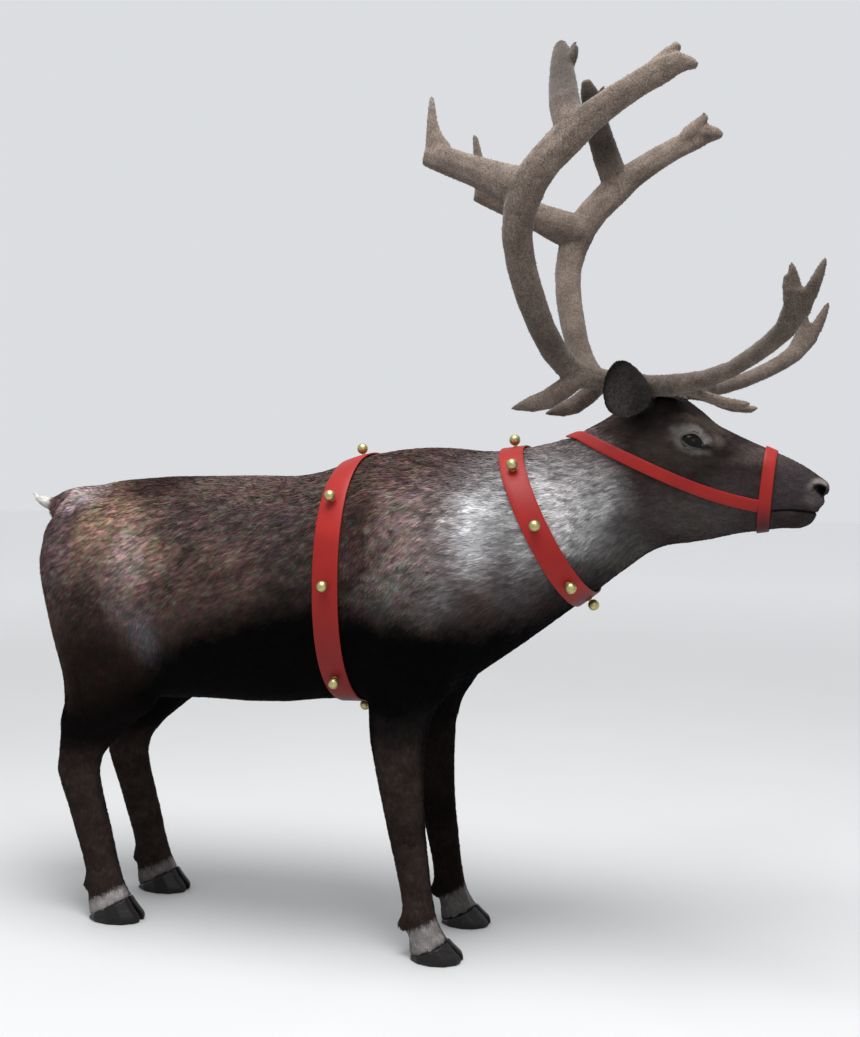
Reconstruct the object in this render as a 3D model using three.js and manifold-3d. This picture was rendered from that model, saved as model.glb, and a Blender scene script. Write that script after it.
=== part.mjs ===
// A standing reindeer at life size, in velvet antlers and a red harness with brass bells.
// Millimetres. +X points to the muzzle, +Y to the animal's left, +Z up. The hooves stand on Z = 0.
// Places along X are measured from the middle of the front hooves until the whole is centred.

import * as THREE from 'three';
import { mergeVertices } from 'three/addons/utils/BufferGeometryUtils.js';
import Module from 'manifold-3d';

const wasm = await Module();
wasm.setup();

// Driving dimensions
const withersHeight = 1150;
const rumpHeight = 1075;
const pollHeight = 1259;
const bellyHeight = 536;
const footSpacing = 820;
const frontTrack = 236;
const hindTrack = 230;
const barrel = 250;
const eyeRadius = 23;
const strapThickness = 4;
const girthWidth = 58;
const collarWidth = 54;
const headStrapWidth = 26;
const bellRadius = 12.5;
const bellNeck = 2.5;
const bellFoot = 5;
const bellSides = 8;
const gap = 0.3;
const clearance = 0.4;
const fineness = 0.2;
const antlerFineness = 0.8;
const ringPoints = 30;
const legPoints = 12;
const antlerPoints = 8;
const smallPoints = 12;
const wide = 1000;

const fur = { roughness: 0.95, metalness: 0 };
const materials = {
  coat: new THREE.MeshStandardMaterial({ color: 0x5b4c49, ...fur }),
  shoulder: new THREE.MeshStandardMaterial({ color: 0x8d8784, ...fur }),
  face: new THREE.MeshStandardMaterial({ color: 0x3c3432, ...fur }),
  legs: new THREE.MeshStandardMaterial({ color: 0x241d1b, ...fur }),
  tail: new THREE.MeshStandardMaterial({ color: 0xb3ada8, ...fur }),
  ears: new THREE.MeshStandardMaterial({ color: 0x2e2c2c, ...fur }),
  eyes: new THREE.MeshStandardMaterial({ color: 0x17181a, roughness: 0.15, metalness: 0 }),
  velvet: new THREE.MeshStandardMaterial({ color: 0x73655a, roughness: 0.95, metalness: 0 }),
  horn: new THREE.MeshStandardMaterial({ color: 0x221e1c, roughness: 0.6, metalness: 0 }),
  strap: new THREE.MeshStandardMaterial({ color: 0xb5302b, roughness: 0.55, metalness: 0 }),
  brass: new THREE.MeshStandardMaterial({ color: 0xc8bd75, roughness: 0.3, metalness: 1 }),
};

// Solids and skins
function solid(geometry) {
  const bare = new THREE.BufferGeometry();
  bare.setAttribute('position', geometry.getAttribute('position').clone());
  if (geometry.index) bare.setIndex(geometry.index.clone());
  const merged = mergeVertices(bare, 1e-4);
  const vertProperties = new Float32Array(merged.getAttribute('position').array);
  let triVerts = new Uint32Array(merged.index.array);
  if (signedVolume(vertProperties, triVerts) < 0) triVerts = triVerts.reverse();
  return new wasm.Manifold(new wasm.Mesh({ numProp: 3, vertProperties, triVerts }));
}

function signedVolume(points, triangles) {
  const corner = k => new THREE.Vector3().fromArray(points, 3 * triangles[k]);
  let sum = 0;
  for (let k = 0; k < triangles.length; k += 3) {
    sum += corner(k).dot(corner(k + 1).cross(corner(k + 2)));
  }
  return sum / 6;
}

// Rings of points joined into one closed skin, with each end closed by a fan about its middle
function skin(rings) {
  const count = rings[0].length;
  const points = rings.flat();
  const index = [];
  for (let ring = 0; ring + 1 < rings.length; ring++) {
    for (let k = 0; k < count; k++) {
      const here = ring * count + k;
      const next = ring * count + (k + 1) % count;
      index.push(here, next, here + count);
      index.push(next, next + count, here + count);
    }
  }
  const lastRing = (rings.length - 1) * count;
  for (const [start, turn] of [[0, -1], [lastRing, 1]]) {
    const middle = new THREE.Vector3();
    for (let k = 0; k < count; k++) middle.addScaledVector(points[start + k], 1 / count);
    points.push(middle);
    for (let k = 0; k < count; k++) {
      const pair = [start + k, start + (k + 1) % count];
      if (turn < 0) pair.reverse();
      index.push(...pair, points.length - 1);
    }
  }
  const geometry = new THREE.BufferGeometry().setFromPoints(points);
  geometry.setIndex(index);
  return solid(geometry);
}

// A smooth track through rows of numbers, whose first three are a place
function track(rows) {
  const knots = [0];
  for (let i = 1; i < rows.length; i++) {
    const [before, after] = [rows[i - 1], rows[i]];
    knots.push(knots[i - 1] + Math.hypot(after[0] - before[0], after[1] - before[1], after[2] - before[2]));
  }
  const slope = (i, c) => {
    const [low, high] = [Math.max(0, i - 1), Math.min(rows.length - 1, i + 1)];
    return (rows[high][c] - rows[low][c]) / (knots[high] - knots[low]);
  };
  const at = distance => {
    let i = 0;
    while (i < rows.length - 2 && knots[i + 1] < distance) i++;
    const span = knots[i + 1] - knots[i];
    const t = (distance - knots[i]) / span;
    return rows[i].map((value, c) => {
      const [a, b] = [value, rows[i + 1][c]];
      const [rise, fall] = [slope(i, c) * span, slope(i + 1, c) * span];
      const [square, cube] = [t * t, t * t * t];
      return a * (2 * cube - 3 * square + 1) + rise * (cube - 2 * square + t)
        + b * (3 * square - 2 * cube) + fall * (cube - square);
    });
  };
  return { at, knots, length: knots.at(-1) };
}

// Distances along a track: every knot, with even steps between knots no longer than a given step
function stops(path, step) {
  const places = [0];
  for (let i = 1; i < path.knots.length; i++) {
    const [low, high] = [path.knots[i - 1], path.knots[i]];
    const parts = Math.max(1, Math.round((high - low) / step));
    for (let k = 1; k <= parts; k++) places.push(low + (high - low) * k / parts);
  }
  return places;
}

const signedPower = (value, power) => Math.sign(value) * Math.abs(value) ** power;
const biggest = pieces => pieces.sort((a, b) => b.volume() - a.volume())[0];
const largest = shape => biggest(shape.decompose());
const join = (...shapes) => shapes.reduce((whole, piece) => whole.add(piece));
const box = (x, y, z) => new THREE.BoxGeometry(x, y, z);
const point = (x, y, z) => new THREE.Vector3(x, y, z);

// The one of several pieces that holds a place
function pieceAt(pieces, place) {
  const probeSize = 2;
  const probe = solid(box(probeSize, probeSize, probeSize).translate(...place));
  return pieces.find(piece => !piece.intersect(probe).isEmpty());
}

// A thin or thick plate whose face is square to a direction
function plate(place, normal, thickness, breadth = wide) {
  const turn = new THREE.Quaternion().setFromUnitVectors(point(1, 0, 0), normal.clone().normalize());
  return solid(box(thickness, breadth, breadth).applyQuaternion(turn).translate(place.x, place.y, place.z));
}

function ellipsoid(place, radii, turn = new THREE.Euler()) {
  const shape = new THREE.SphereGeometry(1, 10, 6).scale(...radii);
  return solid(shape.applyQuaternion(new THREE.Quaternion().setFromEuler(turn)).translate(...place));
}

// A round tube along X through rows of X, Y, Z, half width and half height, with its ends leaning back
function levelTube(rows, lean) {
  const path = track(rows);
  return skin(stops(path, 30).map(distance => {
    const [x, , z, width, height] = path.at(distance);
    const ring = [];
    for (let k = 0; k < smallPoints; k++) {
      const angle = 2 * Math.PI * k / smallPoints;
      const rise = height * Math.cos(angle);
      ring.push(point(x - lean * rise, width * Math.sin(angle), z + rise));
    }
    return ring;
  }));
}

// Side outline, drawn in X and Z, carried through the whole width of the animal
function sidePlate(outline, width = wide) {
  const shape = new THREE.Shape(outline.map(([x, z]) => new THREE.Vector2(x, z)));
  const geometry = new THREE.ExtrudeGeometry(shape, { depth: width, bevelEnabled: false });
  return solid(geometry.rotateX(Math.PI / 2).translate(0, width / 2, 0));
}

// Trunk: stations from the rump to the muzzle, each with its top and bottom on the middle line,
// its half width, how square its section is and how much wider it is above (+) or below (-)
const trunkStations = [
  { top: [-1052, 1006], bottom: [-1052, 962], half: 26, square: 2, high: 0 },
  { top: [-1046, 1026], bottom: [-1048, 925], half: 58, square: 2, high: 0 },
  { top: [-1022, 1042], bottom: [-1030, 845], half: 100, square: 2.1, high: 0.05 },
  { top: [-975, rumpHeight - 24], bottom: [-985, 735], half: 146, square: 2.2, high: 0.05 },
  { top: [-905, rumpHeight - 13], bottom: [-910, 620], half: 186, square: 2.2, high: 0 },
  { top: [-820, rumpHeight - 3], bottom: [-820, 556], half: 208, square: 2.2, high: 0 },
  { top: [-720, rumpHeight + 4], bottom: [-720, bellyHeight - 4], half: 228, square: 2.2, high: 0 },
  { top: [-600, rumpHeight + 6], bottom: [-600, bellyHeight + 3], half: 244, square: 2.2, high: -0.02 },
  { top: [-480, rumpHeight + 8], bottom: [-480, bellyHeight + 2], half: barrel, square: 2.2, high: -0.03 },
  { top: [-380, rumpHeight + 6], bottom: [-380, bellyHeight + 8], half: barrel, square: 2.25, high: -0.03 },
  { top: [-300, rumpHeight + 20], bottom: [-300, bellyHeight + 19], half: 248, square: 2.25, high: -0.03 },
  { top: [-215, rumpHeight + 51], bottom: [-215, bellyHeight + 25], half: 245, square: 2.3, high: -0.02 },
  { top: [-120, withersHeight - 6], bottom: [-120, bellyHeight + 22], half: 236, square: 2.25, high: -0.02 },
  { top: [-35, withersHeight], bottom: [-25, bellyHeight + 26], half: 224, square: 2.2, high: -0.02 },
  { top: [40, withersHeight - 6], bottom: [62, 626], half: 210, square: 2.15, high: -0.04 },
  { top: [96, withersHeight - 11], bottom: [168, 701], half: 199, square: 2.1, high: -0.04 },
  { top: [149, withersHeight - 7], bottom: [316, 812], half: 178, square: 2.05, high: -0.05 },
  { top: [216, withersHeight + 5], bottom: [380, 862], half: 142, square: 2, high: -0.04 },
  { top: [284, withersHeight + 24], bottom: [428, 897], half: 116, square: 2, high: 0 },
  { top: [350, withersHeight + 61], bottom: [464, 922], half: 99, square: 2.05, high: 0.06 },
  { top: [400, pollHeight - 22], bottom: [498, 935], half: 91, square: 2.15, high: 0.12 },
  { top: [448, pollHeight - 4], bottom: [532, 939], half: 88, square: 2.25, high: 0.16 },
  { top: [492, pollHeight - 1], bottom: [562, 944], half: 88, square: 2.3, high: 0.18 },
  { top: [530, pollHeight - 12], bottom: [588, 949], half: 87, square: 2.3, high: 0.18 },
  { top: [562, 1222], bottom: [612, 955], half: 80, square: 2.3, high: 0.16 },
  { top: [592, 1194], bottom: [637, 961], half: 71, square: 2.3, high: 0.12 },
  { top: [627, 1176], bottom: [664, 965], half: 62, square: 2.3, high: 0.08 },
  { top: [666, 1157], bottom: [692, 969], half: 55, square: 2.3, high: 0.04 },
  { top: [706, 1139], bottom: [722, 973], half: 50, square: 2.3, high: 0 },
  { top: [744, 1122], bottom: [750, 978], half: 47, square: 2.35, high: 0 },
  { top: [773, 1106], bottom: [774, 991], half: 44, square: 2.4, high: 0.02 },
  { top: [796, 1090], bottom: [795, 1007], half: 40, square: 2.4, high: 0.05 },
  { top: [812, 1078], bottom: [808, 1018], half: 33, square: 2.3, high: 0.05 },
  { top: [821, 1068], bottom: [818, 1033], half: 22, square: 2.1, high: 0 },
  { top: [824.5, 1060], bottom: [824, 1046], half: 9, square: 2, high: 0 },
];

const trunkRows = trunkStations.map(({ top, bottom, half, square, high }) => [
  (top[0] + bottom[0]) / 2, 0, (top[1] + bottom[1]) / 2,
  (top[0] - bottom[0]) / 2, (top[1] - bottom[1]) / 2, half, square, high,
]);
const trunkTrack = track(trunkRows);

// Surface point of the trunk: angle 0 is the top line and half a turn is the bottom line
function trunkPoint(distance, angle, grow = 0) {
  const [x, , z, upX, upZ, half, square, high] = trunkTrack.at(distance);
  const rise = signedPower(Math.cos(angle), 2 / square);
  const side = signedPower(Math.sin(angle), 2 / square);
  const reach = 1 + grow / Math.hypot(upX, upZ);
  return point(x + upX * rise * reach, (half * (1 + high * rise) + grow) * side, z + upZ * rise * reach);
}

function trunkSolid(grow = 0) {
  const places = stops(trunkTrack, 90);
  const rings = places.map(distance => {
    const ring = [];
    for (let k = 0; k < ringPoints; k++) ring.push(trunkPoint(distance, 2 * Math.PI * k / ringPoints, grow));
    return ring;
  });
  for (const spot of rings[0]) spot.x -= grow;
  for (const spot of rings.at(-1)) spot.x += grow;
  return skin(rings);
}

// Legs: rows of X, distance out from the middle, Z, half depth and half width, from the sole upward
const frontFoot = frontTrack / 2;
const frontLegRows = [
  [-1, frontFoot, 0, 60, 46],
  [-1, frontFoot, 6, 63, 49],
  [-3, frontFoot, 16, 61, 49],
  [-13, frontFoot, 32, 52, 45],
  [-25, frontFoot, 54, 42, 38],
  [-34, frontFoot, 78, 38, 33],
  [-43, frontFoot, 105, 39, 32],
  [-49, frontFoot, 148, 38, 29],
  [-58, frontFoot, 203, 41, 30],
  [-71, frontFoot, 280, 46, 34],
  [-80, frontFoot, 345, 51, 38],
  [-87, frontFoot, 413, 58, 43],
  [-92, frontFoot, 490, 67, 51],
  [-85, frontFoot, 551, 78, 58],
  [-66, frontFoot + 7, 608, 101, 66],
  [-52, frontFoot + 20, 672, 118, 72],
  [-46, frontFoot + 31, 752, 120, 76],
  [-42, frontFoot + 34, 840, 110, 68],
  [-42, frontFoot + 32, 905, 84, 46],
  [-42, frontFoot + 32, 940, 40, 20],
];
const hindX = -footSpacing;
const hindFoot = hindTrack / 2;
const hindLegRows = [
  [hindX, hindFoot, 0, 69, 45],
  [hindX, hindFoot, 6, 73, 48],
  [hindX - 1, hindFoot, 16, 72, 48],
  [hindX - 13, hindFoot, 40, 63, 43],
  [hindX - 25, hindFoot, 70, 54, 37],
  [hindX - 32, hindFoot, 100, 48, 33],
  [hindX - 44, hindFoot, 148, 47, 31],
  [hindX - 61, hindFoot, 210, 50, 33],
  [hindX - 78, hindFoot, 270, 51, 35],
  [hindX - 95, hindFoot, 325, 54, 38],
  [hindX - 102, hindFoot, 362, 57, 40],
  [hindX - 93, hindFoot + 1, 400, 59, 42],
  [hindX - 70, hindFoot + 3, 445, 76, 50],
  [hindX - 42, hindFoot + 5, 487, 102, 59],
  [hindX - 8, hindFoot + 6, 530, 124, 67],
  [hindX - 8, hindFoot + 7, 590, 124, 73],
  [hindX - 18, hindFoot + 8, 650, 130, 79],
  [hindX - 30, hindFoot + 9, 714, 135, 82],
  [hindX - 42, hindFoot + 9, 773, 136, 82],
  [hindX - 56, hindFoot + 7, 822, 135, 80],
  [hindX - 72, hindFoot + 4, 871, 128, 74],
  [hindX - 80, hindFoot, 909, 116, 66],
  [hindX - 82, hindFoot - 4, 940, 102, 55],
  [hindX - 81, hindFoot - 8, 968, 82, 42],
  [hindX - 80, hindFoot - 12, 992, 52, 26],
];

function legSolid(rows, side, grow = 0) {
  const path = track(rows);
  const rings = stops(path, 70).map(distance => {
    const [x, out, z, depth, width] = path.at(distance);
    const ring = [];
    for (let k = 0; k < legPoints; k++) {
      const angle = 2 * Math.PI * k / legPoints;
      const [forward, outward] = [(depth + grow) * Math.cos(angle), (width + grow) * Math.sin(angle)];
      ring.push(point(x + forward, side * out + outward, z));
    }
    return ring;
  });
  for (const spot of rings.at(-1)) spot.z += grow;
  return skin(rings);
}

// Feet: the coronet slants up to the toe, and the hoof below it is cloven
const coronets = {
  front: { coronet: [-9, 28], slope: Math.atan2(42, 91), heel: -82, dewclawZ: 70 },
  hind: { coronet: [hindX - 2, 38], slope: Math.atan2(61, 119), heel: hindX - 60, dewclawZ: 86 },
};
const cleftFront = 13;
const cleftBack = 4;
const footReach = 120;
const clawOut = 22;
const dewclaw = { out: 19, radii: [13, 12, 18], lean: -0.3 };

function footParts(end, side) {
  const rows = end === 'front' ? frontLegRows : hindLegRows;
  const { coronet, slope, heel, dewclawZ } = coronets[end];
  const out = side * rows[0][1];
  let whole = legSolid(rows, side);
  for (const half of [-1, 1]) {
    const place = [heel, out + half * dewclaw.out, dewclawZ];
    whole = whole.add(ellipsoid(place, dewclaw.radii, new THREE.Euler(0, dewclaw.lean, 0)));
  }
  const across = point(-Math.sin(slope), 0, Math.cos(slope));
  const coronetCut = plate(point(coronet[0], out, coronet[1]), across, gap, 3 * footReach);
  const pieces = whole.subtract(coronetCut).decompose();
  const [middle, , soleZ] = rows[1];
  const hoof = pieceAt(pieces, [middle, out, soleZ]);
  const cleft = new THREE.Shape([
    new THREE.Vector2(middle - footReach, -cleftBack / 2),
    new THREE.Vector2(middle, -cleftBack / 2),
    new THREE.Vector2(middle + footReach, -cleftFront),
    new THREE.Vector2(middle + footReach, cleftFront),
    new THREE.Vector2(middle, cleftBack / 2),
    new THREE.Vector2(middle - footReach, cleftBack / 2),
  ]);
  const wedge = new THREE.ExtrudeGeometry(cleft, { depth: 2 * footReach, bevelEnabled: false });
  const claws = hoof.subtract(solid(wedge.translate(0, out, -footReach))).decompose();
  return {
    leg: biggest(pieces).simplify(fineness),
    outer: pieceAt(claws, [middle, out + side * clawOut, soleZ]).simplify(fineness),
    inner: pieceAt(claws, [middle, out - side * clawOut, soleZ]).simplify(fineness),
  };
}

// Head: eyes in almond lids, nostrils, the line of the mouth and the chin, cut into the trunk's front
const eyePlace = [549, 68, 1159];
const eyeDirection = point(0.2, 1, 0.1).normalize();
const lidDepth = 4.5;
const lidLength = 1.28;
const eyeDip = 0.28;
const eyeOpening = { halfLength: 21, upper: 15.5, lower: 13.5, pinch: 0.35 };
const nostril = { place: [813, 29, 1048], radii: [9, 12, 13], turn: [0.5, 0.5, -0.7] };
const chinRows = [
  [680, 0, 996, 34, 20], [725, 0, 994, 38, 20], [762, 0, 993, 36, 18],
  [783, 0, 996, 29, 14], [795, 0, 1001, 18, 8], [799, 0, 1004, 7, 3],
];
const mouthCurve = [[718, 1011], [745, 1015], [775, 1014], [800, 1009], [830, 1004]];
const lipGap = 1.4;
const lipDepth = 7;

function eyeAxes(side) {
  const out = point(eyeDirection.x, side * eyeDirection.y, eyeDirection.z);
  const along = point(1, 0, -eyeDip);
  along.addScaledVector(out, -along.dot(out)).normalize();
  return { out, along, up: point(0, 0, 0).crossVectors(along, out).multiplyScalar(-side) };
}

// The almond between the lids, carried outward from the middle of the eye
function almond(side) {
  const { out, along, up } = eyeAxes(side);
  const { halfLength, upper, lower, pinch } = eyeOpening;
  const outline = [];
  for (let k = 0; k < smallPoints; k++) {
    const angle = 2 * Math.PI * k / smallPoints;
    const height = Math.sin(angle) > 0 ? upper : lower;
    const narrowing = 1 - pinch * Math.abs(Math.cos(angle)) ** 3;
    outline.push([halfLength * Math.cos(angle), height * Math.sin(angle) * narrowing]);
  }
  const place = point(eyePlace[0], side * eyePlace[1], eyePlace[2]);
  const rings = [eyeRadius / 4, 3 * eyeRadius].map(depth => outline.map(([a, b]) => place.clone()
    .addScaledVector(along, a).addScaledVector(up, b).addScaledVector(out, depth)));
  return skin(rings);
}

function ball(side, radius) {
  const shape = new THREE.SphereGeometry(radius, smallPoints, 8);
  const turn = new THREE.Quaternion().setFromUnitVectors(point(0, 1, 0), eyeAxes(side).out);
  return solid(shape.applyQuaternion(turn).translate(eyePlace[0], side * eyePlace[1], eyePlace[2]));
}

// The lids with the skin round them, longer along the face than the eyeball
function lids(side) {
  const { out, along, up } = eyeAxes(side);
  const shape = new THREE.SphereGeometry(eyeRadius + lidDepth, smallPoints, 8).scale(lidLength, 1, 1);
  const frame = new THREE.Matrix4().makeBasis(along, up, out);
  return solid(shape.applyMatrix4(frame).translate(eyePlace[0], side * eyePlace[1], eyePlace[2]));
}

function headDetails(head, core) {
  let shaped = head.add(levelTube(chinRows, 0));
  for (const side of [-1, 1]) shaped = shaped.add(lids(side));
  shaped = shaped.simplify(fineness);
  for (const side of [-1, 1]) {
    shaped = shaped.subtract(ball(side, eyeRadius + gap)).subtract(almond(side));
    const [x, out, z] = nostril.place;
    const [roll, pitch, yaw] = nostril.turn;
    const turn = new THREE.Euler(side * roll, pitch, side * yaw);
    shaped = shaped.subtract(ellipsoid([x, side * out, z], nostril.radii, turn));
  }
  const mouthLine = new THREE.SplineCurve(mouthCurve.map(([x, z]) => new THREE.Vector2(x, z))).getPoints(8);
  const upper = mouthLine.map(({ x, y }, k) => [x, y + lipGap * Math.min(1, k / 3)]);
  const lower = mouthLine.slice(1).reverse().map(({ x, y }) => [x, y - lipGap]);
  const slit = sidePlate([...upper, ...lower]).subtract(core);
  return largest(shaped.subtract(slit)).simplify(fineness);
}

// Ears: a cup that opens outward, on a short root
const earFoot = point(431, 114, 1210);
const earTip = point(406, 172, 1326);
const earTurn = 0.35;
const earRows = [
  [0, 13, 2], [0.06, 31, 8], [0.17, 46, 14], [0.35, 54, 19], [0.55, 52, 19],
  [0.73, 42, 15], [0.88, 26, 8], [1, 6, 1],
];
const earSteps = 6;
const earRim = 2.2;
const earWall = 3.8;
const earRootRows = [[458, 50, 1220, 27], [452, 78, 1234, 26], [444, 98, 1242, 25], [436, 112, 1250, 24]];
const earRootFlatness = 0.75;
const earRootLean = 0.55;

function earSolid(side, around) {
  const axis = earTip.clone().sub(earFoot);
  const ahead = point(1, 0, 0).addScaledVector(axis, -axis.x / axis.lengthSq()).normalize();
  const outward = point(0, 0, 0).crossVectors(axis, ahead).normalize();
  const across = ahead.clone().multiplyScalar(Math.cos(earTurn)).addScaledVector(outward, -Math.sin(earTurn));
  const opening = outward.clone().multiplyScalar(Math.cos(earTurn)).addScaledVector(ahead, Math.sin(earTurn));
  const cup = track(earRows.map(([along, width, depth]) => [along * axis.length(), 0, 0, width, depth]));
  const rings = stops(cup, 30).map(distance => {
    const [along, , , width, depth] = cup.at(distance);
    const ring = [];
    for (const face of [0, 1]) {
      for (let k = 0; k <= earSteps; k++) {
        const sweep = (face ? -1 : 1) * (2 * k / earSteps - 1);
        const bow = 1 - sweep * sweep;
        const sunk = depth * bow + face * (earRim + earWall * bow);
        ring.push(earFoot.clone().addScaledVector(axis, along / axis.length())
          .addScaledVector(across, width * sweep).addScaledVector(opening, -sunk));
      }
    }
    return ring;
  });
  const rootTrack = track(earRootRows);
  const root = skin(stops(rootTrack, 40).map(distance => {
    const [x, y, z, radius] = rootTrack.at(distance);
    const ring = [];
    for (let k = 0; k < smallPoints; k++) {
      const angle = 2 * Math.PI * k / smallPoints;
      const [forward, upward] = [radius * Math.cos(angle), earRootFlatness * radius * Math.sin(angle)];
      ring.push(point(x + forward, y - upward * earRootLean, z + upward * Math.sqrt(1 - earRootLean ** 2)));
    }
    return ring;
  }));
  const inside = skin(rings.map(ring => {
    const front = ring.slice(0, earSteps + 1);
    const proud = front.map(spot => spot.clone().addScaledVector(opening, axis.length())).reverse();
    return [...front, ...proud];
  }));
  const whole = skin(rings).add(root.subtract(inside));
  const placed = side > 0 ? whole : whole.mirror([0, 1, 0]);
  return largest(placed.subtract(around));
}

// Antlers: rows of X, distance out, Z, half width seen from the side and half thickness
const antlerRows = {
  main: [
    [508, 48, 1222, 25, 24], [497, 60, 1256, 25, 24], [440, 84, 1280, 22, 21], [368, 106, 1287, 23, 20],
    [318, 122, 1296, 28, 21], [291, 138, 1318, 28, 21], [270, 160, 1347, 29, 20], [250, 186, 1392, 29, 20],
    [233, 212, 1448, 31, 20], [218, 238, 1516, 32, 20], [213, 256, 1571, 33, 20], [222, 266, 1626, 37, 21],
    [243, 270, 1678, 40, 22], [276, 271, 1718, 37, 20], [318, 271, 1757, 38, 20],
    [362, 272, 1793, 33, 19], [418, 275, 1827, 29, 17], [464, 278, 1851, 27, 15], [508, 281, 1871, 28, 13],
    [540, 284, 1880, 22, 10], [568, 286, 1873, 6, 4],
  ],
  mainProng: [[505, 280, 1876, 16, 10], [522, 273, 1900, 9, 7], [532, 264, 1926, 4, 4]],
  vertical: [
    [334, 270, 1762, 26, 18], [320, 266, 1795, 34, 19], [306, 242, 1838, 33, 19], [295, 206, 1885, 30, 17],
    [286, 174, 1933, 25, 15], [281, 152, 1965, 21, 12], [276, 140, 1988, 10, 8],
  ],
  verticalProng: [[292, 162, 1942, 12, 9], [307, 164, 1962, 8, 6], [313, 165, 1979, 4, 4]],
  rear: [
    [240, 266, 1662, 38, 19], [198, 254, 1676, 42, 20], [129, 236, 1709, 33, 18], [65, 216, 1737, 30, 16],
    [25, 203, 1756, 29, 14], [1, 195, 1766, 26, 11],
  ],
  rearProng: [[16, 198, 1752, 22, 11], [12, 190, 1787, 16, 9], [9, 181, 1828, 12, 7], [2, 167, 1892, 4, 4]],
  front: [
    [500, 72, 1258, 24, 22], [478, 92, 1270, 24, 21], [541, 128, 1277, 21, 18], [588, 156, 1284, 19, 16],
    [636, 188, 1299, 17, 15], [684, 234, 1324, 18, 14], [740, 288, 1364, 21, 13], [764, 318, 1402, 27, 12],
    [770, 333, 1434, 32, 10],
  ],
  frontProng: [
    [784, 331, 1420, 16, 10], [801, 342, 1456, 11, 8], [809, 348, 1475, 7, 6], [813, 351, 1487, 3, 3],
  ],
  frontShortProng: [
    [762, 328, 1420, 15, 10], [757, 331, 1452, 12, 8], [754, 333, 1472, 8, 6], [753, 334, 1484, 3, 3],
  ],
  frontStub: [[752, 326, 1412, 15, 9], [745, 330, 1444, 9, 7], [742, 332, 1461, 4, 4]],
  brow: [
    [500, 84, 1262, 20, 18], [524, 104, 1268, 17, 15], [570, 110, 1251, 12, 10], [620, 118, 1235, 12, 9],
    [655, 124, 1231, 9, 7], [670, 127, 1233, 3, 3],
  ],
  back: [
    [318, 124, 1292, 20, 16], [285, 140, 1267, 23, 17], [252, 150, 1245, 22, 15], [220, 157, 1236, 18, 12],
    [196, 162, 1231, 9, 7], [179, 165, 1226, 3, 3],
  ],
};

function branch(rows, grow = 0) {
  const path = track(rows);
  const places = stops(path, 48);
  const across = point(0, 1, 0);
  const rings = places.map((distance, i) => {
    const [before, after] = [places[Math.max(0, i - 1)], places[Math.min(places.length - 1, i + 1)]];
    const from = point(...path.at(before).slice(0, 3));
    const along = point(...path.at(after).slice(0, 3)).sub(from).normalize();
    const thin = across.clone().addScaledVector(along, -across.dot(along)).normalize();
    const wide = point(0, 0, 0).crossVectors(along, thin);
    const [x, y, z, halfWide, halfThin] = path.at(distance);
    const ring = [];
    for (let k = 0; k < antlerPoints; k++) {
      const angle = 2 * Math.PI * k / antlerPoints;
      ring.push(point(x, y, z).addScaledVector(wide, (halfWide + grow) * Math.cos(angle))
        .addScaledVector(thin, (halfThin + grow) * Math.sin(angle)));
    }
    return ring;
  });
  return skin(rings);
}

// Where the antler is parted at its forks: a place, the direction of the branch and the cut's breadth
const antlerCuts = [
  { place: point(160, 245, 1693), along: point(-0.88, -0.2, 0.44), breadth: 110 },
  { place: point(262, 271, 1703), along: point(0.66, 0.02, 0.75), breadth: 110 },
  { place: point(308, 245, 1832), along: point(-0.25, -0.55, 0.85), breadth: 90 },
  { place: point(580, 132, 1268), along: point(1, 0, 0), breadth: 100 },
  { place: point(272, 145, 1258), along: point(-0.82, 0.2, -0.53), breadth: 70 },
];
const antlerPlaces = {
  beam: [236, 210, 1448], upper: [420, 275, 1827], vertical: [290, 185, 1915], rear: [66, 216, 1738],
  front: [684, 234, 1324], brow: [620, 118, 1235], back: [235, 154, 1240],
};

function antlerSolid(grow = 0) {
  return join(...Object.values(antlerRows).map(rows => branch(rows, grow)));
}

function antlerParts(head) {
  let whole = antlerSolid().simplify(antlerFineness).subtract(head);
  for (const { place, along, breadth } of antlerCuts) {
    whole = whole.subtract(plate(place, along, gap, breadth));
  }
  const pieces = whole.decompose();
  const named = {};
  for (const [name, place] of Object.entries(antlerPlaces)) named[name] = pieceAt(pieces, place);
  return named;
}

// Tail: short, held level with an upturned tip
const tailRows = [
  [-1030, 0, 996, 30, 32], [-1056, 0, 997, 27, 30], [-1078, 0, 1004, 21, 22], [-1098, 0, 1014, 14, 14],
  [-1112, 0, 1022, 9, 8], [-1125, 0, 1034, 3, 3],
];
const tailLean = 0.3;

// Straps: a slice of the space just outside the trunk
const girthX = -215;
const collarTop = [149, 1143];
const collarBottom = [316, 812];
const noseTop = [705.5, 1134];
const noseBottom = [689.5, 969.5];
const cheekLine = [
  [252, 1192], [284, 1178], [314, 1166], [379, 1140], [443, 1106], [510, 1076], [594, 1047], [690, 1021],
];
const neckTop = [66, 1160];
const neckBottom = [124, 650];
const headTop = [374, 1228];
const headBottom = [482, 930];
const tailRootX = -1056;

function slopingPlate([topX, topZ], [bottomX, bottomZ], thickness) {
  const normal = point(topZ - bottomZ, 0, bottomX - topX);
  return plate(point((topX + bottomX) / 2, 0, (topZ + bottomZ) / 2), normal, thickness);
}

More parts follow.
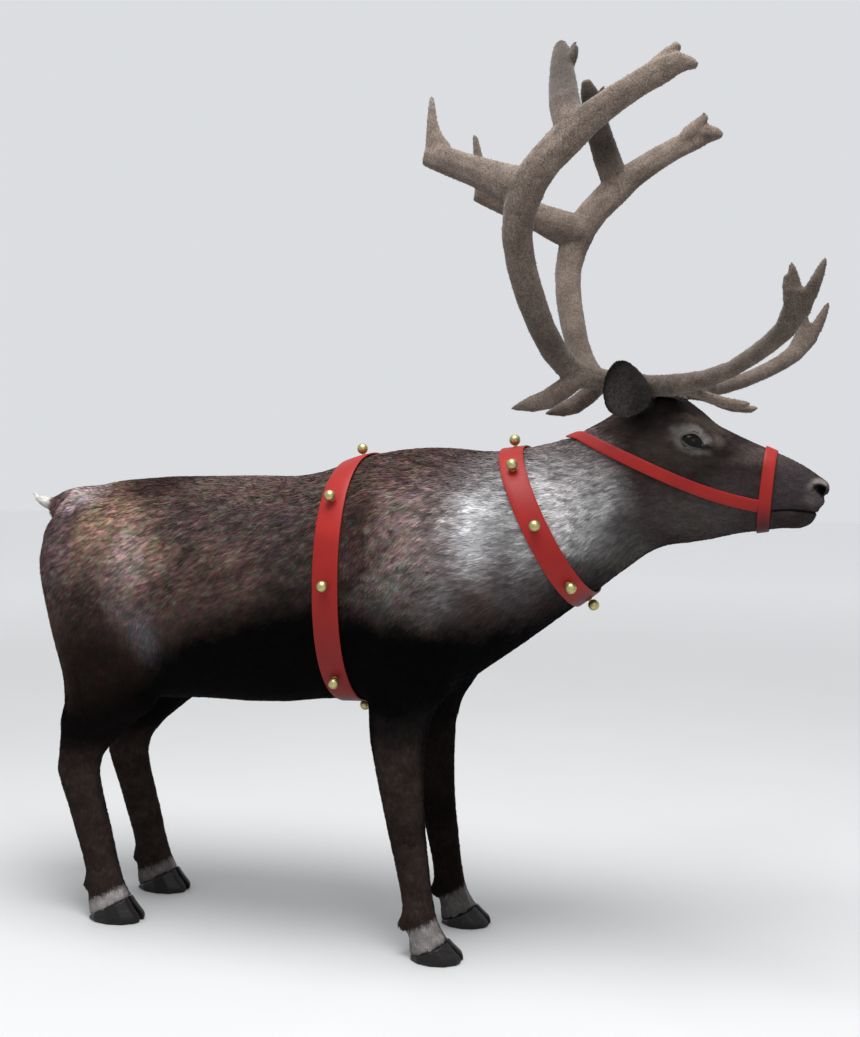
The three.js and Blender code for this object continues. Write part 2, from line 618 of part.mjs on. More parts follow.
function cheekPlate() {
  const line = new THREE.SplineCurve(cheekLine.map(([x, z]) => new THREE.Vector2(x, z)));
  const edges = [[], []];
  const parts = 22;
  for (let k = 0; k <= parts; k++) {
    const [middle, along] = [line.getPoint(k / parts), line.getTangent(k / parts)];
    edges[0].push([middle.x - along.y * headStrapWidth / 2, middle.y + along.x * headStrapWidth / 2]);
    edges[1].unshift([middle.x + along.y * headStrapWidth / 2, middle.y - along.x * headStrapWidth / 2]);
  }
  return sidePlate([...edges[0], ...edges[1]]);
}

// Bells: a ball with a slot across its face, on a short neck with a round foot
function bellSolid() {
  const profile = [[0, 0], [bellFoot, 0], [bellFoot, bellNeck + 1.5]];
  for (let k = 1; k <= 3; k++) {
    const angle = -Math.PI / 2 + Math.PI * k / 4;
    profile.push([bellRadius * Math.cos(angle), bellNeck + bellRadius * (1 + Math.sin(angle))]);
  }
  profile.push([0, bellNeck + 2 * bellRadius]);
  const shape = new THREE.LatheGeometry(profile.map(([r, h]) => new THREE.Vector2(r, h)), bellSides);
  return solid(shape.rotateX(Math.PI / 2));
}

// A bell's place on a strap: the turn round the trunk where it sits at a given distance along the trunk
function placedBell(bell, distance, angle) {
  const turnStep = 0.01;
  const lengthStep = 4;
  const reach = clearance + strapThickness + gap;
  const spot = (ahead, turned) => trunkPoint(distance + ahead, angle + turned, reach);
  const foot = spot(0, 0);
  const round = spot(0, turnStep).sub(spot(0, -turnStep));
  const along = spot(lengthStep, 0).sub(spot(-lengthStep, 0));
  const out = round.cross(along).normalize();
  const middle = point(...trunkTrack.at(distance).slice(0, 3));
  if (out.dot(foot.clone().sub(middle)) < 0) out.negate();
  const turn = new THREE.Quaternion().setFromUnitVectors(point(0, 0, 1), out);
  const matrix = new THREE.Matrix4().compose(foot, turn, point(1, 1, 1));
  return bell.transform(matrix.elements);
}

const bellHeights = { girth: [1036, 846, 623], collar: [1105, 979, 849] };
const stationAt = { girth: trunkTrack.knots[11], collar: trunkTrack.knots[16] };

// The turn round the trunk at which its surface is at a given height
function angleAtHeight(distance, height) {
  let [low, high] = [0, Math.PI];
  const halvings = 40;
  for (let k = 0; k < halvings; k++) {
    const middle = (low + high) / 2;
    if (trunkPoint(distance, middle).z > height) low = middle;
    else high = middle;
  }
  return low;
}

// Assembly
const reindeer = new THREE.Group();

function add(name, shape, material) {
  const { vertProperties, triVerts, numProp } = shape.getMesh();
  const positions = new Float32Array(vertProperties.length / numProp * 3);
  for (let k = 0; k < positions.length / 3; k++) {
    for (let c = 0; c < 3; c++) positions[3 * k + c] = vertProperties[k * numProp + c];
  }
  const geometry = new THREE.BufferGeometry();
  geometry.setAttribute('position', new THREE.BufferAttribute(positions, 3));
  geometry.setIndex(new THREE.BufferAttribute(new Uint32Array(triVerts), 1));
  const mesh = new THREE.Mesh(geometry, material);
  mesh.name = name;
  reindeer.add(mesh);
}

const sides = [['left', 1], ['right', -1]];
const trunk = trunkSolid();
const trunkAround = trunkSolid(clearance);
const trunkCore = trunkSolid(-lipDepth);
const neckCut = slopingPlate(neckTop, neckBottom, gap);
const headCut = slopingPlate(headTop, headBottom, gap);
const tail = levelTube(tailRows, tailLean);
const tailCut = plate(point(tailRootX, 0, rumpHeight), point(1, 0, 0), gap);
const body = trunk.add(tail).subtract(neckCut).subtract(headCut).subtract(tailCut).decompose();

let torso = pieceAt(body, [-400, 0, 800]);
for (const [sideName, side] of sides) {
  for (const end of ['front', 'hind']) {
    const rows = end === 'front' ? frontLegRows : hindLegRows;
    torso = torso.subtract(legSolid(rows, side, clearance));
    const { leg, outer, inner } = footParts(end, side);
    add(`${end}_leg_${sideName}`, leg, materials.legs);
    add(`${end}_hoof_${sideName}_outer`, outer, materials.horn);
    add(`${end}_hoof_${sideName}_inner`, inner, materials.horn);
  }
}
add('torso', largest(torso).simplify(fineness), materials.coat);
add('tail', pieceAt(body, [-1090, 0, 1010]), materials.tail);
add('neck', pieceAt(body, [250, 0, 1000]), materials.shoulder);
add('head', headDetails(pieceAt(body, [600, 0, 1080]), trunkCore), materials.face);

const headAround = pieceAt(body, [600, 0, 1080]).add(trunkAround);
const antler = antlerParts(headAround);
const antlerAround = antlerSolid(clearance + antlerFineness);
const earLimits = headAround.add(antlerAround).add(antlerAround.mirror([0, 1, 0]));
for (const [sideName, side] of sides) {
  add(`eye_${sideName}`, ball(side, eyeRadius), materials.eyes);
  add(`ear_${sideName}`, earSolid(side, earLimits), materials.ears);
  for (const [name, shape] of Object.entries(antler)) {
    add(`antler_${name}_${sideName}`, side > 0 ? shape : shape.mirror([0, 1, 0]), materials.velvet);
  }
}

const strapSpace = trunkSolid(clearance + strapThickness).subtract(trunkAround);
const girthPlate = plate(point(girthX, 0, bellyHeight), point(1, 0, 0), girthWidth, 2 * wide);
const nosePlate = slopingPlate(noseTop, noseBottom, headStrapWidth);
add('girth_strap', largest(strapSpace.intersect(girthPlate)).simplify(fineness), materials.strap);
const collar = strapSpace.intersect(slopingPlate(collarTop, collarBottom, collarWidth));
add('collar_strap', largest(collar).simplify(fineness), materials.strap);
add('noseband', largest(strapSpace.intersect(nosePlate)).simplify(fineness), materials.strap);
const noseClear = slopingPlate(noseTop, noseBottom, headStrapWidth + 2 * gap);
const headstall = strapSpace.intersect(cheekPlate()).subtract(noseClear);
add('headstall', largest(headstall).simplify(fineness), materials.strap);

const bell = bellSolid();
for (const strap of ['girth', 'collar']) {
  const distance = stationAt[strap];
  add(`${strap}_bell_top`, placedBell(bell, distance, 0), materials.brass);
  add(`${strap}_bell_bottom`, placedBell(bell, distance, Math.PI), materials.brass);
  bellHeights[strap].forEach((height, k) => {
    for (const [sideName, side] of sides) {
      const angle = side * angleAtHeight(distance, height);
      add(`${strap}_bell_${sideName}_${k + 1}`, placedBell(bell, distance, angle), materials.brass);
    }
  });
}

// The whole is centred over its footprint
const extent = new THREE.Box3().setFromObject(reindeer);
reindeer.position.set(-(extent.min.x + extent.max.x) / 2, 0, -extent.min.z);

export default reindeer;
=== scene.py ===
# A reindeer bull as a still, life-size model: coat, velvet antlers, red harness and brass bells
import math

import bpy
import numpy as np
from mathutils import Matrix, Vector
from mathutils.bvhtree import BVHTree


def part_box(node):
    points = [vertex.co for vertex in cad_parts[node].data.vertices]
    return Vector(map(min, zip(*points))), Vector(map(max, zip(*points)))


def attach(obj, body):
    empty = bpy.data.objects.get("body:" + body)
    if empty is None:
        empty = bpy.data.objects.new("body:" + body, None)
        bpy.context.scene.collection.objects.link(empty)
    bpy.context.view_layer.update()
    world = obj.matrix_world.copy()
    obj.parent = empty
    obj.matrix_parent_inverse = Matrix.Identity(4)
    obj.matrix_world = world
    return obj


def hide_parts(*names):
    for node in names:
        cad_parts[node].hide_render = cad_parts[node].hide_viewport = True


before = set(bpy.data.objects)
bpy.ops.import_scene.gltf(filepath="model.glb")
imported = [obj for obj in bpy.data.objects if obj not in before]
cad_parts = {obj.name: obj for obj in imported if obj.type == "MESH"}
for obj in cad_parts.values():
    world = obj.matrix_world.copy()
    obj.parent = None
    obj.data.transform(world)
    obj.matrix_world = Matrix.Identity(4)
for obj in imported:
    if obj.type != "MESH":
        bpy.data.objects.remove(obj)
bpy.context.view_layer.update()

BODY = "root"
SIDES = {"left": 1, "right": -1}
ENDS = ("front", "hind")
MM = 0.001

# The floor point midway between the front feet, 62 mm ahead of the heels of the front hooves
HEEL_TO_ORIGIN = 0.062
ORIGIN = Vector((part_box("front_hoof_left_outer")[0].x + HEEL_TO_ORIGIN, 0, 0))


def at(x, y, z):
    """A place in millimetres: ahead of the front feet, to the animal's left, and above the floor."""
    return ORIGIN + Vector((x, y, z)) * MM


# Making pieces

def only(*pieces):
    """Deselects everything else."""
    bpy.ops.object.select_all(action="DESELECT")
    for piece in pieces:
        piece.select_set(True)
    bpy.context.view_layer.objects.active = pieces[-1]


def finished(piece, kind, **settings):
    """Adds a modifier with these settings and applies it."""
    only(piece)
    modifier = piece.modifiers.new(kind.lower(), kind)
    for name, value in settings.items():
        setattr(modifier, name, value)
    bpy.ops.object.modifier_apply(modifier=modifier.name)
    return piece


def in_edit(piece, *steps):
    """Runs edit-mode steps on the whole piece."""
    only(piece)
    bpy.ops.object.mode_set(mode="EDIT")
    bpy.ops.mesh.select_all(action="SELECT")
    for step in steps:
        step()
    bpy.ops.object.mode_set(mode="OBJECT")
    return piece


def linked(name, mesh):
    """A new object in the scene."""
    piece = bpy.data.objects.new(name, mesh)
    bpy.context.scene.collection.objects.link(piece)
    return piece


def built(name, points, faces, edges=()):
    """A new piece from points in metres."""
    mesh = bpy.data.meshes.new(name)
    mesh.from_pydata(points, edges, faces)
    return linked(name, mesh)


def facing_out(piece):
    return in_edit(piece, lambda: bpy.ops.mesh.normals_make_consistent(inside=False))


def smooth(piece, angle=None):
    """Smooth shading all over, or only across edges flatter than an angle in degrees."""
    only(piece)
    if angle is None:
        bpy.ops.object.shade_smooth()
    else:
        bpy.ops.object.shade_smooth_by_angle(angle=math.radians(angle))


# How much the copies of neighbouring solids grow, so that they overlap
OVERLAP = 0.0008


def copies(names, made):
    """One mesh from added pieces and merged copies of CAD nodes."""
    for name in names:
        piece = linked(name + "_copy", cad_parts[name].data.copy())
        in_edit(piece, lambda: bpy.ops.mesh.remove_doubles(threshold=1e-5))
        finished(piece, "DISPLACE", strength=OVERLAP, mid_level=0)
        made.append(piece)
    only(*made)
    if len(made) > 1:
        bpy.ops.object.join()
    return bpy.context.view_layer.objects.active


def fused(name, names, voxel, added=()):
    """The copies and what is added to them as one closed skin of even quads."""
    piece = copies(names, list(added))
    piece.data.materials.clear()
    finished(piece, "REMESH", mode="VOXEL", voxel_size=voxel, use_smooth_shade=True)
    piece.name = piece.data.name = name
    return piece


def tube_faces(rings, n, closed):
    """The quads between neighbouring rings of n points, with end caps where the row of rings is open."""
    faces = [(k * n + j, k * n + (j + 1) % n, (k + 1) % rings * n + (j + 1) % n, (k + 1) % rings * n + j)
             for k in range(rings if closed else rings - 1) for j in range(n)]
    if not closed:
        faces += [tuple(range(n))[::-1], tuple(range((rings - 1) * n, rings * n))]
    return faces


LIMB_SIDES = 16


def limb(rows, side=1):
    """A rounded limb. Each row is its middle, half its width from the side and half its thickness."""
    rows = np.array(rows, float)
    way = np.gradient(rows[:, :3], axis=0)
    way /= np.linalg.norm(way, axis=1, keepdims=True)
    thin = np.array((0, 1, 0)) - way * way[:, 1:2]
    thin /= np.linalg.norm(thin, axis=1, keepdims=True)
    wide = np.cross(way, thin)
    angles = np.arange(LIMB_SIDES) * 2 * math.pi / LIMB_SIDES
    rings = [rows[:, :3] + wide * rows[:, 3:4] * math.cos(angle) + thin * rows[:, 4:5] * math.sin(angle)
             for angle in angles]
    points = np.stack(rings, 1).reshape(-1, 3) * (1, side, 1)
    faces = tube_faces(len(rows), LIMB_SIDES, False)
    return facing_out(built("limb", [at(*place) for place in points], faces))


def read(items, key, width, kind=np.float32):
    """The same value of all items of a mesh, such as its points, one row for each."""
    flat = np.empty(len(items) * width, kind)
    items.foreach_get(key, flat)
    return flat.reshape(-1, width)


def points_of(piece):
    return read(piece.data.vertices, "co", 3).astype(float)


def normals_of(piece):
    return read(piece.data.vertices, "normal", 3).astype(float)


def set_points(piece, points):
    piece.data.vertices.foreach_set("co", np.ascontiguousarray(points, np.float32).ravel())
    piece.data.update()


def neighbours(piece):
    """The ends of each edge, and how many edges meet at each point."""
    edges = read(piece.data.edges, "vertices", 2, np.int32)
    met = np.bincount(edges.ravel(), minlength=len(piece.data.vertices))
    return edges, np.maximum(met, 1)[:, None]


# A step back that gives a smoothed form its volume again
STEP_BACK = -1.06


def relaxed(piece, rounds, strength, keep_volume=False):
    """Moves each point towards the middle of its neighbours, with one strength or one for each point."""
    points = points_of(piece)
    edges, count = neighbours(piece)
    strength = np.broadcast_to(np.asarray(strength, float).reshape(-1, 1), (len(points), 1))
    steps = (1, STEP_BACK) if keep_volume else (1,)
    for _ in range(rounds):
        for step in steps:
            points = points + (neighbour_middle(points, edges, count) - points) * strength * step
    set_points(piece, points)
    return piece


def neighbour_middle(values, edges, count):
    return np.stack([
        np.bincount(edges[:, 0], values[edges[:, 1], k], len(values))
        + np.bincount(edges[:, 1], values[edges[:, 0], k], len(values))
        for k in range(3)], 1) / count


def rounded(piece, rounds, strength):
    """Strong smoothing whose shrinking is given back, so that facets go and the form stays."""
    before = points_of(piece)
    relaxed(piece, rounds, strength)
    points = points_of(piece)
    edges, count = neighbours(piece)
    lost = before - points
    for _ in range(rounds):
        lost += (neighbour_middle(lost, edges, count) - lost) * 0.5
    set_points(piece, points + lost)


def fade(value, start, end):
    """0 at start, 1 at end and beyond, smooth between."""
    t = np.clip((value - start) / (end - start), 0, 1)
    return t * t * (3 - 2 * t)


def ride_on(piece, slot, *replaced):
    """Hangs a finished piece on the body and hides the CAD parts that it replaces."""
    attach(piece, BODY)
    if replaced:
        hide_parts(*replaced)
    return piece


# Shader maths

class Amount:
    """A number that varies over a surface. Sums written with it add Math nodes."""

    def __init__(self, paint, socket):
        self.paint = paint
        self.socket = socket

    def __add__(self, other):
        return self.paint.scalar("ADD", self, other)

    __radd__ = __add__

    def __mul__(self, other):
        return self.paint.scalar("MULTIPLY", self, other)

    __rmul__ = __mul__

    def __sub__(self, other):
        return self.paint.scalar("SUBTRACT", self, other)

    def __rsub__(self, other):
        return self.paint.scalar("SUBTRACT", other, self)

    def __truediv__(self, other):
        return self.paint.scalar("DIVIDE", self, other)

    def __pow__(self, other):
        return self.paint.scalar("POWER", self, other)


# Further than the body is wide, in millimetres, for what is marked on its whole side
THROUGH = 900


class Paint:
    """A material under construction."""

    def __init__(self, name, place="object"):
        self.material = bpy.data.materials.new(name)
        self.material.use_nodes = True
        self.tree = self.material.node_tree
        self.shader = self.tree.nodes["Principled BSDF"]
        if place == "object":
            self.place = self.node("ShaderNodeTexCoord", {}, {}, "Object")
        else:
            self.place = self.attribute(place, "Vector")
        parts = self.tree.nodes.new("ShaderNodeSeparateXYZ")
        self.tree.links.new(self.place.socket, parts.inputs[0])
        self.x, self.y, self.z = (Amount(self, socket) for socket in parts.outputs)
        self.aside = self.node("ShaderNodeMath", {"operation": "ABSOLUTE"}, {0: self.y})
        self.alike = self.node("ShaderNodeCombineXYZ", {}, {"X": self.x, "Y": self.aside, "Z": self.z})

    def node(self, kind, settings, values, output=0):
        """Adds a node: its settings first, then the values or links of its sockets."""
        made = self.tree.nodes.new(kind)
        for name, value in settings.items():
            if name == "stops":
                self.set_stops(made.color_ramp, value)
            else:
                setattr(made, name, value)
        for name, value in values.items():
            if isinstance(value, Amount):
                self.tree.links.new(value.socket, made.inputs[name])
            else:
                made.inputs[name].default_value = value
        return Amount(self, made.outputs[output])

    @staticmethod
    def set_stops(ramp, stops):
        while len(ramp.elements) < len(stops):
            ramp.elements.new(0.5)
        for element, (position, colour) in zip(ramp.elements, stops):
            element.position = position
            element.color = colour

    def attribute(self, name, output="Fac"):
        return self.node("ShaderNodeAttribute", {"attribute_name": name}, {}, output)

    def ramp(self, value, *stops):
        return self.node("ShaderNodeValToRGB", {"stops": stops}, {"Fac": value})

    def mix(self, amount, first, second, blend="MIX"):
        settings = {"data_type": "RGBA", "blend_type": blend}
        return self.node("ShaderNodeMix", settings, {0: amount, 6: first, 7: second}, 2)

    def noise(self, size, detail=2.0, rough=0.5, place=None, warp=0.0):
        values = {"Vector": place or self.place, "Scale": 1 / size, "Detail": detail,
                  "Roughness": rough, "Distortion": warp}
        return self.node("ShaderNodeTexNoise", {}, values)

    def moved(self, place, turn=(0, 0, 0), stretch=(1, 1, 1), shift=(0, 0, 0)):
        values = {"Vector": place, "Location": shift, "Rotation": turn, "Scale": stretch}
        return self.node("ShaderNodeMapping", {}, values)

    def spread(self, value, low, high, start=0.0, end=1.0):
        settings = {"interpolation_type": "SMOOTHSTEP"}
        values = {0: value, 1: low, 2: high, 3: start, 4: end}
        return self.node("ShaderNodeMapRange", settings, values)

    def ahead(self, start, end, low=0.0, high=1.0):
        """From low to high between two places along the body, in millimetres."""
        return self.spread(self.x, at(start, 0, 0).x, at(end, 0, 0).x, low, high)

    def scalar(self, operation, first, second):
        return self.node("ShaderNodeMath", {"operation": operation}, {0: first, 1: second})

    def vector(self, operation, first, second, output="Vector"):
        return self.node("ShaderNodeVectorMath", {"operation": operation}, {0: first, 1: second}, output)

    def scaled(self, colour, amount):
        values = {0: colour, "Scale": amount}
        return self.node("ShaderNodeVectorMath", {"operation": "SCALE"}, values, "Vector")

    def wandering(self, place, size, reach):
        """The place, moved this way and that by up to reach, so that edges aren't drawn with a ruler."""
        values = {"Vector": self.place, "Scale": 1 / size, "Detail": 3.0}
        drift = self.node("ShaderNodeTexNoise", {}, values, "Color")
        drift = self.vector("SUBTRACT", drift, (0.5, 0.5, 0.5))
        return self.vector("ADD", place, self.scaled(drift, reach * 2))

    def patch(self, centre, radii, soft=0.35, place=None):
        """1 inside an ellipsoid and 0 outside, with an edge as a share of its radius."""
        away = self.vector("SUBTRACT", place or self.alike, centre)
        away = self.vector("DIVIDE", away, tuple(r * MM for r in radii))
        distance = self.vector("LENGTH", away, (0, 0, 0), "Value")
        return self.spread(distance, 1 + soft, 1 - soft)

    def from_side(self, centre, reach, soft, place):
        """A patch seen from the side, on both sides of the body."""
        return self.patch(at(centre[0], 0, centre[1]), (reach[0], THROUGH, reach[1]), soft, place)

    def profile(self, value, places):
        """A height that depends on a value, read off straight stretches between places in millimetres."""
        places = [(at(x, 0, 0).x, z * MM) for x, z in places]
        start, end = places[0][0], places[-1][0]
        stops = [((x - start) / (end - start), (z, z, z, 1)) for x, z in places]
        share = (value - start) / (end - start)
        return self.node("ShaderNodeSeparateColor", {}, {0: self.ramp(share, *stops)})

    def bump(self, height, depth, strength=1.0):
        """depth is how far, in metres, the highest places stand out."""
        values = {"Strength": strength, "Distance": depth, "Height": height}
        return self.node("ShaderNodeBump", {}, values)

    def done(self, base, roughness, bump=None, **constants):
        """Feeds the shader. Constants go straight on the shader's own sockets."""
        for name, value in (("Base Color", base), ("Roughness", roughness), ("Normal", bump)):
            if isinstance(value, Amount):
                self.tree.links.new(value.socket, self.shader.inputs[name])
            elif value is not None:
                self.shader.inputs[name].default_value = value
        for name, value in constants.items():
            self.shader.inputs[name.replace("_", " ")].default_value = value
        return self.material


# How much brighter the studio is than the light that the tones below were matched in
STUDIO_GAIN = 1.7


def tone(red, green, blue, gain=STUDIO_GAIN):
    """A colour from its usual 0 to 255 values, so much darker as the studio is bright."""
    parts = [c / 255 for c in (red, green, blue)]
    return (*((c / 12.92 if c <= 0.04045 else ((c + 0.055) / 1.055) ** 2.4) / gain for c in parts), 1)


# Camera, light and floor

CAMERA_PLACE = at(840.35, -2786.05, 1124.64)
CAMERA_AZIMUTH = 17.8
CAMERA_DROP = 2.77
CAMERA_LENS = 44.09
SKY_COLOUR = (0.95, 0.97, 1, 1)
SKY_STRENGTH = 0.44 * STUDIO_GAIN
# Each light's name, place, aim, size and power
LIGHTS = (
    ("overhead", (0.3, -0.8, 4.0), (0, 0, 0.9), 2.2, 100 * STUDIO_GAIN),
    ("camera_side", (2.6, -3.6, 3.0), (0.1, 0, 0.9), 1.6, 10 * STUDIO_GAIN),
)
FLOOR_SIZE = 40


def set_camera():
    turn = (math.radians(90 - CAMERA_DROP), 0, math.radians(CAMERA_AZIMUTH))
    bpy.ops.object.camera_add(location=CAMERA_PLACE, rotation=turn)
    camera = bpy.context.object
    camera.data.lens = CAMERA_LENS
    bpy.context.scene.camera = camera


def soft_light(name, place, aim, size, power):
    bpy.ops.object.light_add(type="AREA", location=place)
    light = bpy.context.object
    light.name = name
    light.data.shape = "DISK"
    light.data.size = size
    light.data.energy = power
    light.rotation_euler = (Vector(aim) - Vector(place)).to_track_quat("-Z", "Y").to_euler()


def set_studio():
    scene = bpy.context.scene
    scene.view_settings.view_transform = "Standard"
    world = bpy.data.worlds.new("studio")
    scene.world = world
    world.use_nodes = True
    sky = world.node_tree.nodes["Background"]
    sky.inputs["Color"].default_value = SKY_COLOUR
    sky.inputs["Strength"].default_value = SKY_STRENGTH
    for light in LIGHTS:
        soft_light(*light)
    bpy.ops.mesh.primitive_plane_add(size=FLOOR_SIZE)
    floor = bpy.context.object
    floor.name = "floor"
    paint = Paint("floor_paint")
    away = (paint.x * paint.x + paint.y * paint.y) ** 0.5
    shade = paint.mix(paint.noise(0.6), tone(202, 202, 202, 1), tone(207, 207, 207, 1))
    shade = paint.mix(paint.spread(away, 1.5, 9), shade, tone(250, 250, 250, 1))
    floor.data.materials.append(paint.done(shade, 0.7))


# Skin

LEGS = [f"{end}_leg_{side}" for end in ENDS for side in SIDES]
FLESH = ("torso", "neck", "head", "tail", *LEGS)
SKIN_VOXEL = 0.0093
TAIL_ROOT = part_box("tail")[1].x
TAIL_MARGIN = 0.004
TAIL_HALF_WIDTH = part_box("tail")[1].y + TAIL_MARGIN
LEG_TOP, LEG_FULL = 0.66, 0.46
COAT_DEPTH = {"trunk": 0.0042, "legs": 0.0024, "head": 0.0009}


def head_share(points):
    """1 on the face, 0 behind the throat."""
    x, z = points[:, 0], points[:, 2]
    return fade(x + 0.35 * (z - at(0, 0, 1050).z), at(385, 0, 0).x, at(470, 0, 0).x)


def tail_share(points):
    return (points[:, 0] < TAIL_ROOT + TAIL_MARGIN) * (np.abs(points[:, 1]) < TAIL_HALF_WIDTH) * 1.0


def leg_share(points):
    """1 on the legs below the body, 0 on the trunk."""
    return 1 - fade(points[:, 2], LEG_FULL, LEG_TOP)


def coat_depth(points):
    head, leg = head_share(points), leg_share(points)
    depth = COAT_DEPTH["trunk"] * (1 - leg) + COAT_DEPTH["legs"] * leg
    return depth * (1 - head) + COAT_DEPTH["head"] * head


def finer_where(piece, chosen):
    """Splits the faces whose middles are chosen into four."""
    only(piece)
    mesh = piece.data
    picked = chosen(read(mesh.polygons, "center", 3).astype(float))
    bpy.ops.object.mode_set(mode="EDIT")
    bpy.ops.mesh.select_mode(type="FACE")
    bpy.ops.mesh.select_all(action="DESELECT")
    bpy.ops.object.mode_set(mode="OBJECT")
    mesh.polygons.foreach_set("select", picked)
    bpy.ops.object.mode_set(mode="EDIT")
    bpy.ops.mesh.subdivide(number_cuts=1, ngon=False)
    bpy.ops.object.mode_set(mode="OBJECT")


def make_skin():
    added = [limb(rows, side) for rows in SKIN_LIMBS for side in SIDES.values()]
    skin = fused("skin", FLESH, SKIN_VOXEL, added)
    points = points_of(skin)
    soft = fade(points[:, 2], 0.50, 0.72) * fade(points[:, 0], TAIL_ROOT - 0.03, TAIL_ROOT)
    soft *= 1 - head_share(points)
    rounded(skin, 50, 0.5 * soft)
    relaxed(skin, 8, 0.5 * (1 - soft), keep_volume=True)
    finer_where(skin, lambda middles: head_share(middles) > 0.5)
    relaxed(skin, 10, 0.5 * head_share(points_of(skin)), keep_volume=True)
    finer_where(skin, fine_face)
    relaxed(skin, 3, 0.5 * head_share(points_of(skin)), keep_volume=True)
    finer_where(skin, finest_face)
    sculpt(skin)
    return skin


# Flesh that is put on before the skin is drawn over it: the tail's thick root and tip, the mound under the
# antler's foot and the dewclaws, two behind each foot
SKIN_LIMBS = [
    [(-950, 0, 985, 14, 12), (-985, 0, 985, 30, 24), (-1020, 0, 995, 32, 24), (-1060, 0, 1004, 28, 22),
     (-1082, 0, 1012, 20, 17), (-1099, 0, 1015, 14, 14), (-1113, 0, 1024, 10, 10), (-1121, 0, 1034, 7, 7)],
    [(436, 50, 1200, 10, 10), (464, 56, 1214, 30, 28), (488, 62, 1224, 37, 31), (508, 60, 1217, 30, 27),
     (524, 54, 1204, 14, 14)],
    *([(-56, y, 120, 5, 5), (-66, y, 104, 12, 11), (-76, y, 82, 14, 12), (-82, y, 64, 11, 10)]
      for y in (103, 133)),
    *([(-880, y, 126, 5, 5), (-888, y, 108, 11, 10), (-893, y, 88, 12, 11), (-895, y, 72, 10, 9)]
      for y in (101, 129)),
]


def mirrored(piece):
    """A piece's points and normals in millimetres on the animal's left, and the side of each."""
    points, normals = points_of(piece), normals_of(piece)
    side = np.where(points[:, 1] < 0, -1.0, 1.0)
    places = (points - np.array(ORIGIN)) / MM
    places[:, 1] *= side
    normals[:, 1] *= side
    return places, normals, side


def put_back(piece, places, side):
    places = places.copy()
    places[:, 1] *= side
    set_points(piece, places * MM + np.array(ORIGIN))


def millimetres(points):
    return ((points - np.array(ORIGIN)) / MM).T


def fine_face(middles):
    """The muzzle and the eyes, which need small faces."""
    x, y, z = millimetres(middles)
    eye = np.hypot(x - EYE_PLACE[0] - 6, z - EYE_PLACE[2]) < 40
    return (x > 748) | (eye & (np.abs(y) > 40))


def finest_face(middles):
    """The nostrils and the lids."""
    x, y, z = millimetres(middles)
    eye = np.hypot(x - EYE_PLACE[0] - 6, z - EYE_PLACE[2]) < 31
    return ((x > 785) & (z > 1034) & (z < 1077) & (np.abs(y) > 5)) | (eye & (np.abs(y) > 52))


def near_line(places, line):
    """The distance from each point to a line in the side view, and how far along the line it is, 0 to 1."""
    best, along = np.full(len(places), 1e9), np.zeros(len(places))
    flat = places[:, [0, 2]]
    line = np.array(line, float)
    for k, (start, end) in enumerate(zip(line, line[1:])):
        way = end - start
        t = np.clip((flat - start) @ way / (way @ way), 0, 1)
        away = np.linalg.norm(flat - start - t[:, None] * way, axis=1)
        closer = away < best
        best[closer], along[closer] = away[closer], (k + t[closer]) / (len(line) - 1)
    return best, along


# Each swelling or hollow: its middle, its reach along x, y and z, and its height, all in millimetres
HEAD_FORMS = {
    "brow": ((550, 74, 1190), (30, 26, 11), 4.0),
    "brow end": ((578, 66, 1178), (13, 20, 9), 2.0),
    "under the eye": ((560, 90, 1122), (30, 30, 11), -2.0),
    "cheekbone": ((590, 72, 1110), (48, 30, 9), 2.6),
    "jaw muscle": ((470, 88, 1062), (55, 50, 55), 3.5),
    "cheek hollow": ((618, 60, 1068), (50, 40, 26), -3.0),
    "nose side": ((690, 45, 1085), (60, 30, 20), -1.6),
    "upper lip": ((768, 42, 1026), (38, 30, 9), 2.4),
    "lip front": ((802, 0, 1019), (16, 32, 8), -1.5),
    "under the nose": ((812, 0, 1040), (16, 36, 8), -11.0),
    "lower lip": ((768, 36, 1001), (34, 30, 7), 1.8),
    "chin": ((766, 10, 984), (24, 24, 12), 2.0),
    "nose wing": ((797, 36, 1075), (20, 20, 7), 3.0),
    "nostril back": ((782, 42, 1060), (9, 20, 14), 2.6),
    "nose tip": ((814, 10, 1066), (12, 22, 10), 2.4),
}
BODY_FORMS = {
    "shoulder blade": ((-10, 150, 940), (85, 70, 140), 5.0),
    "behind the shoulder": ((-125, 150, 850), (40, 90, 140), -5.0),
    "point of the shoulder": ((90, 110, 790), (60, 60, 60), 5.0),
    "flank hollow": ((-560, 160, 850), (65, 90, 60), -7.0),
    "hip": ((-650, 110, 1045), (50, 50, 28), 5.0),
    "thigh": ((-770, 140, 800), (100, 70, 120), 6.0),
    "before the tail": ((-912, 60, 1052), (36, 70, 26), -6.0),
    "over the tail root": ((-962, 60, 1040), (26, 40, 12), 5.0),
}
MOUTH_LINE = [(704, 1011), (718, 1013), (745, 1015), (775, 1012), (800, 1007), (830, 1003)]
MOUTH_DEPTH, MOUTH_REACH = 4.5, 2.0
TEAR_LINE = [(571, 1142), (582, 1138), (598, 1135)]
TEAR_DEPTH, TEAR_REACH = 2.2, 5.0


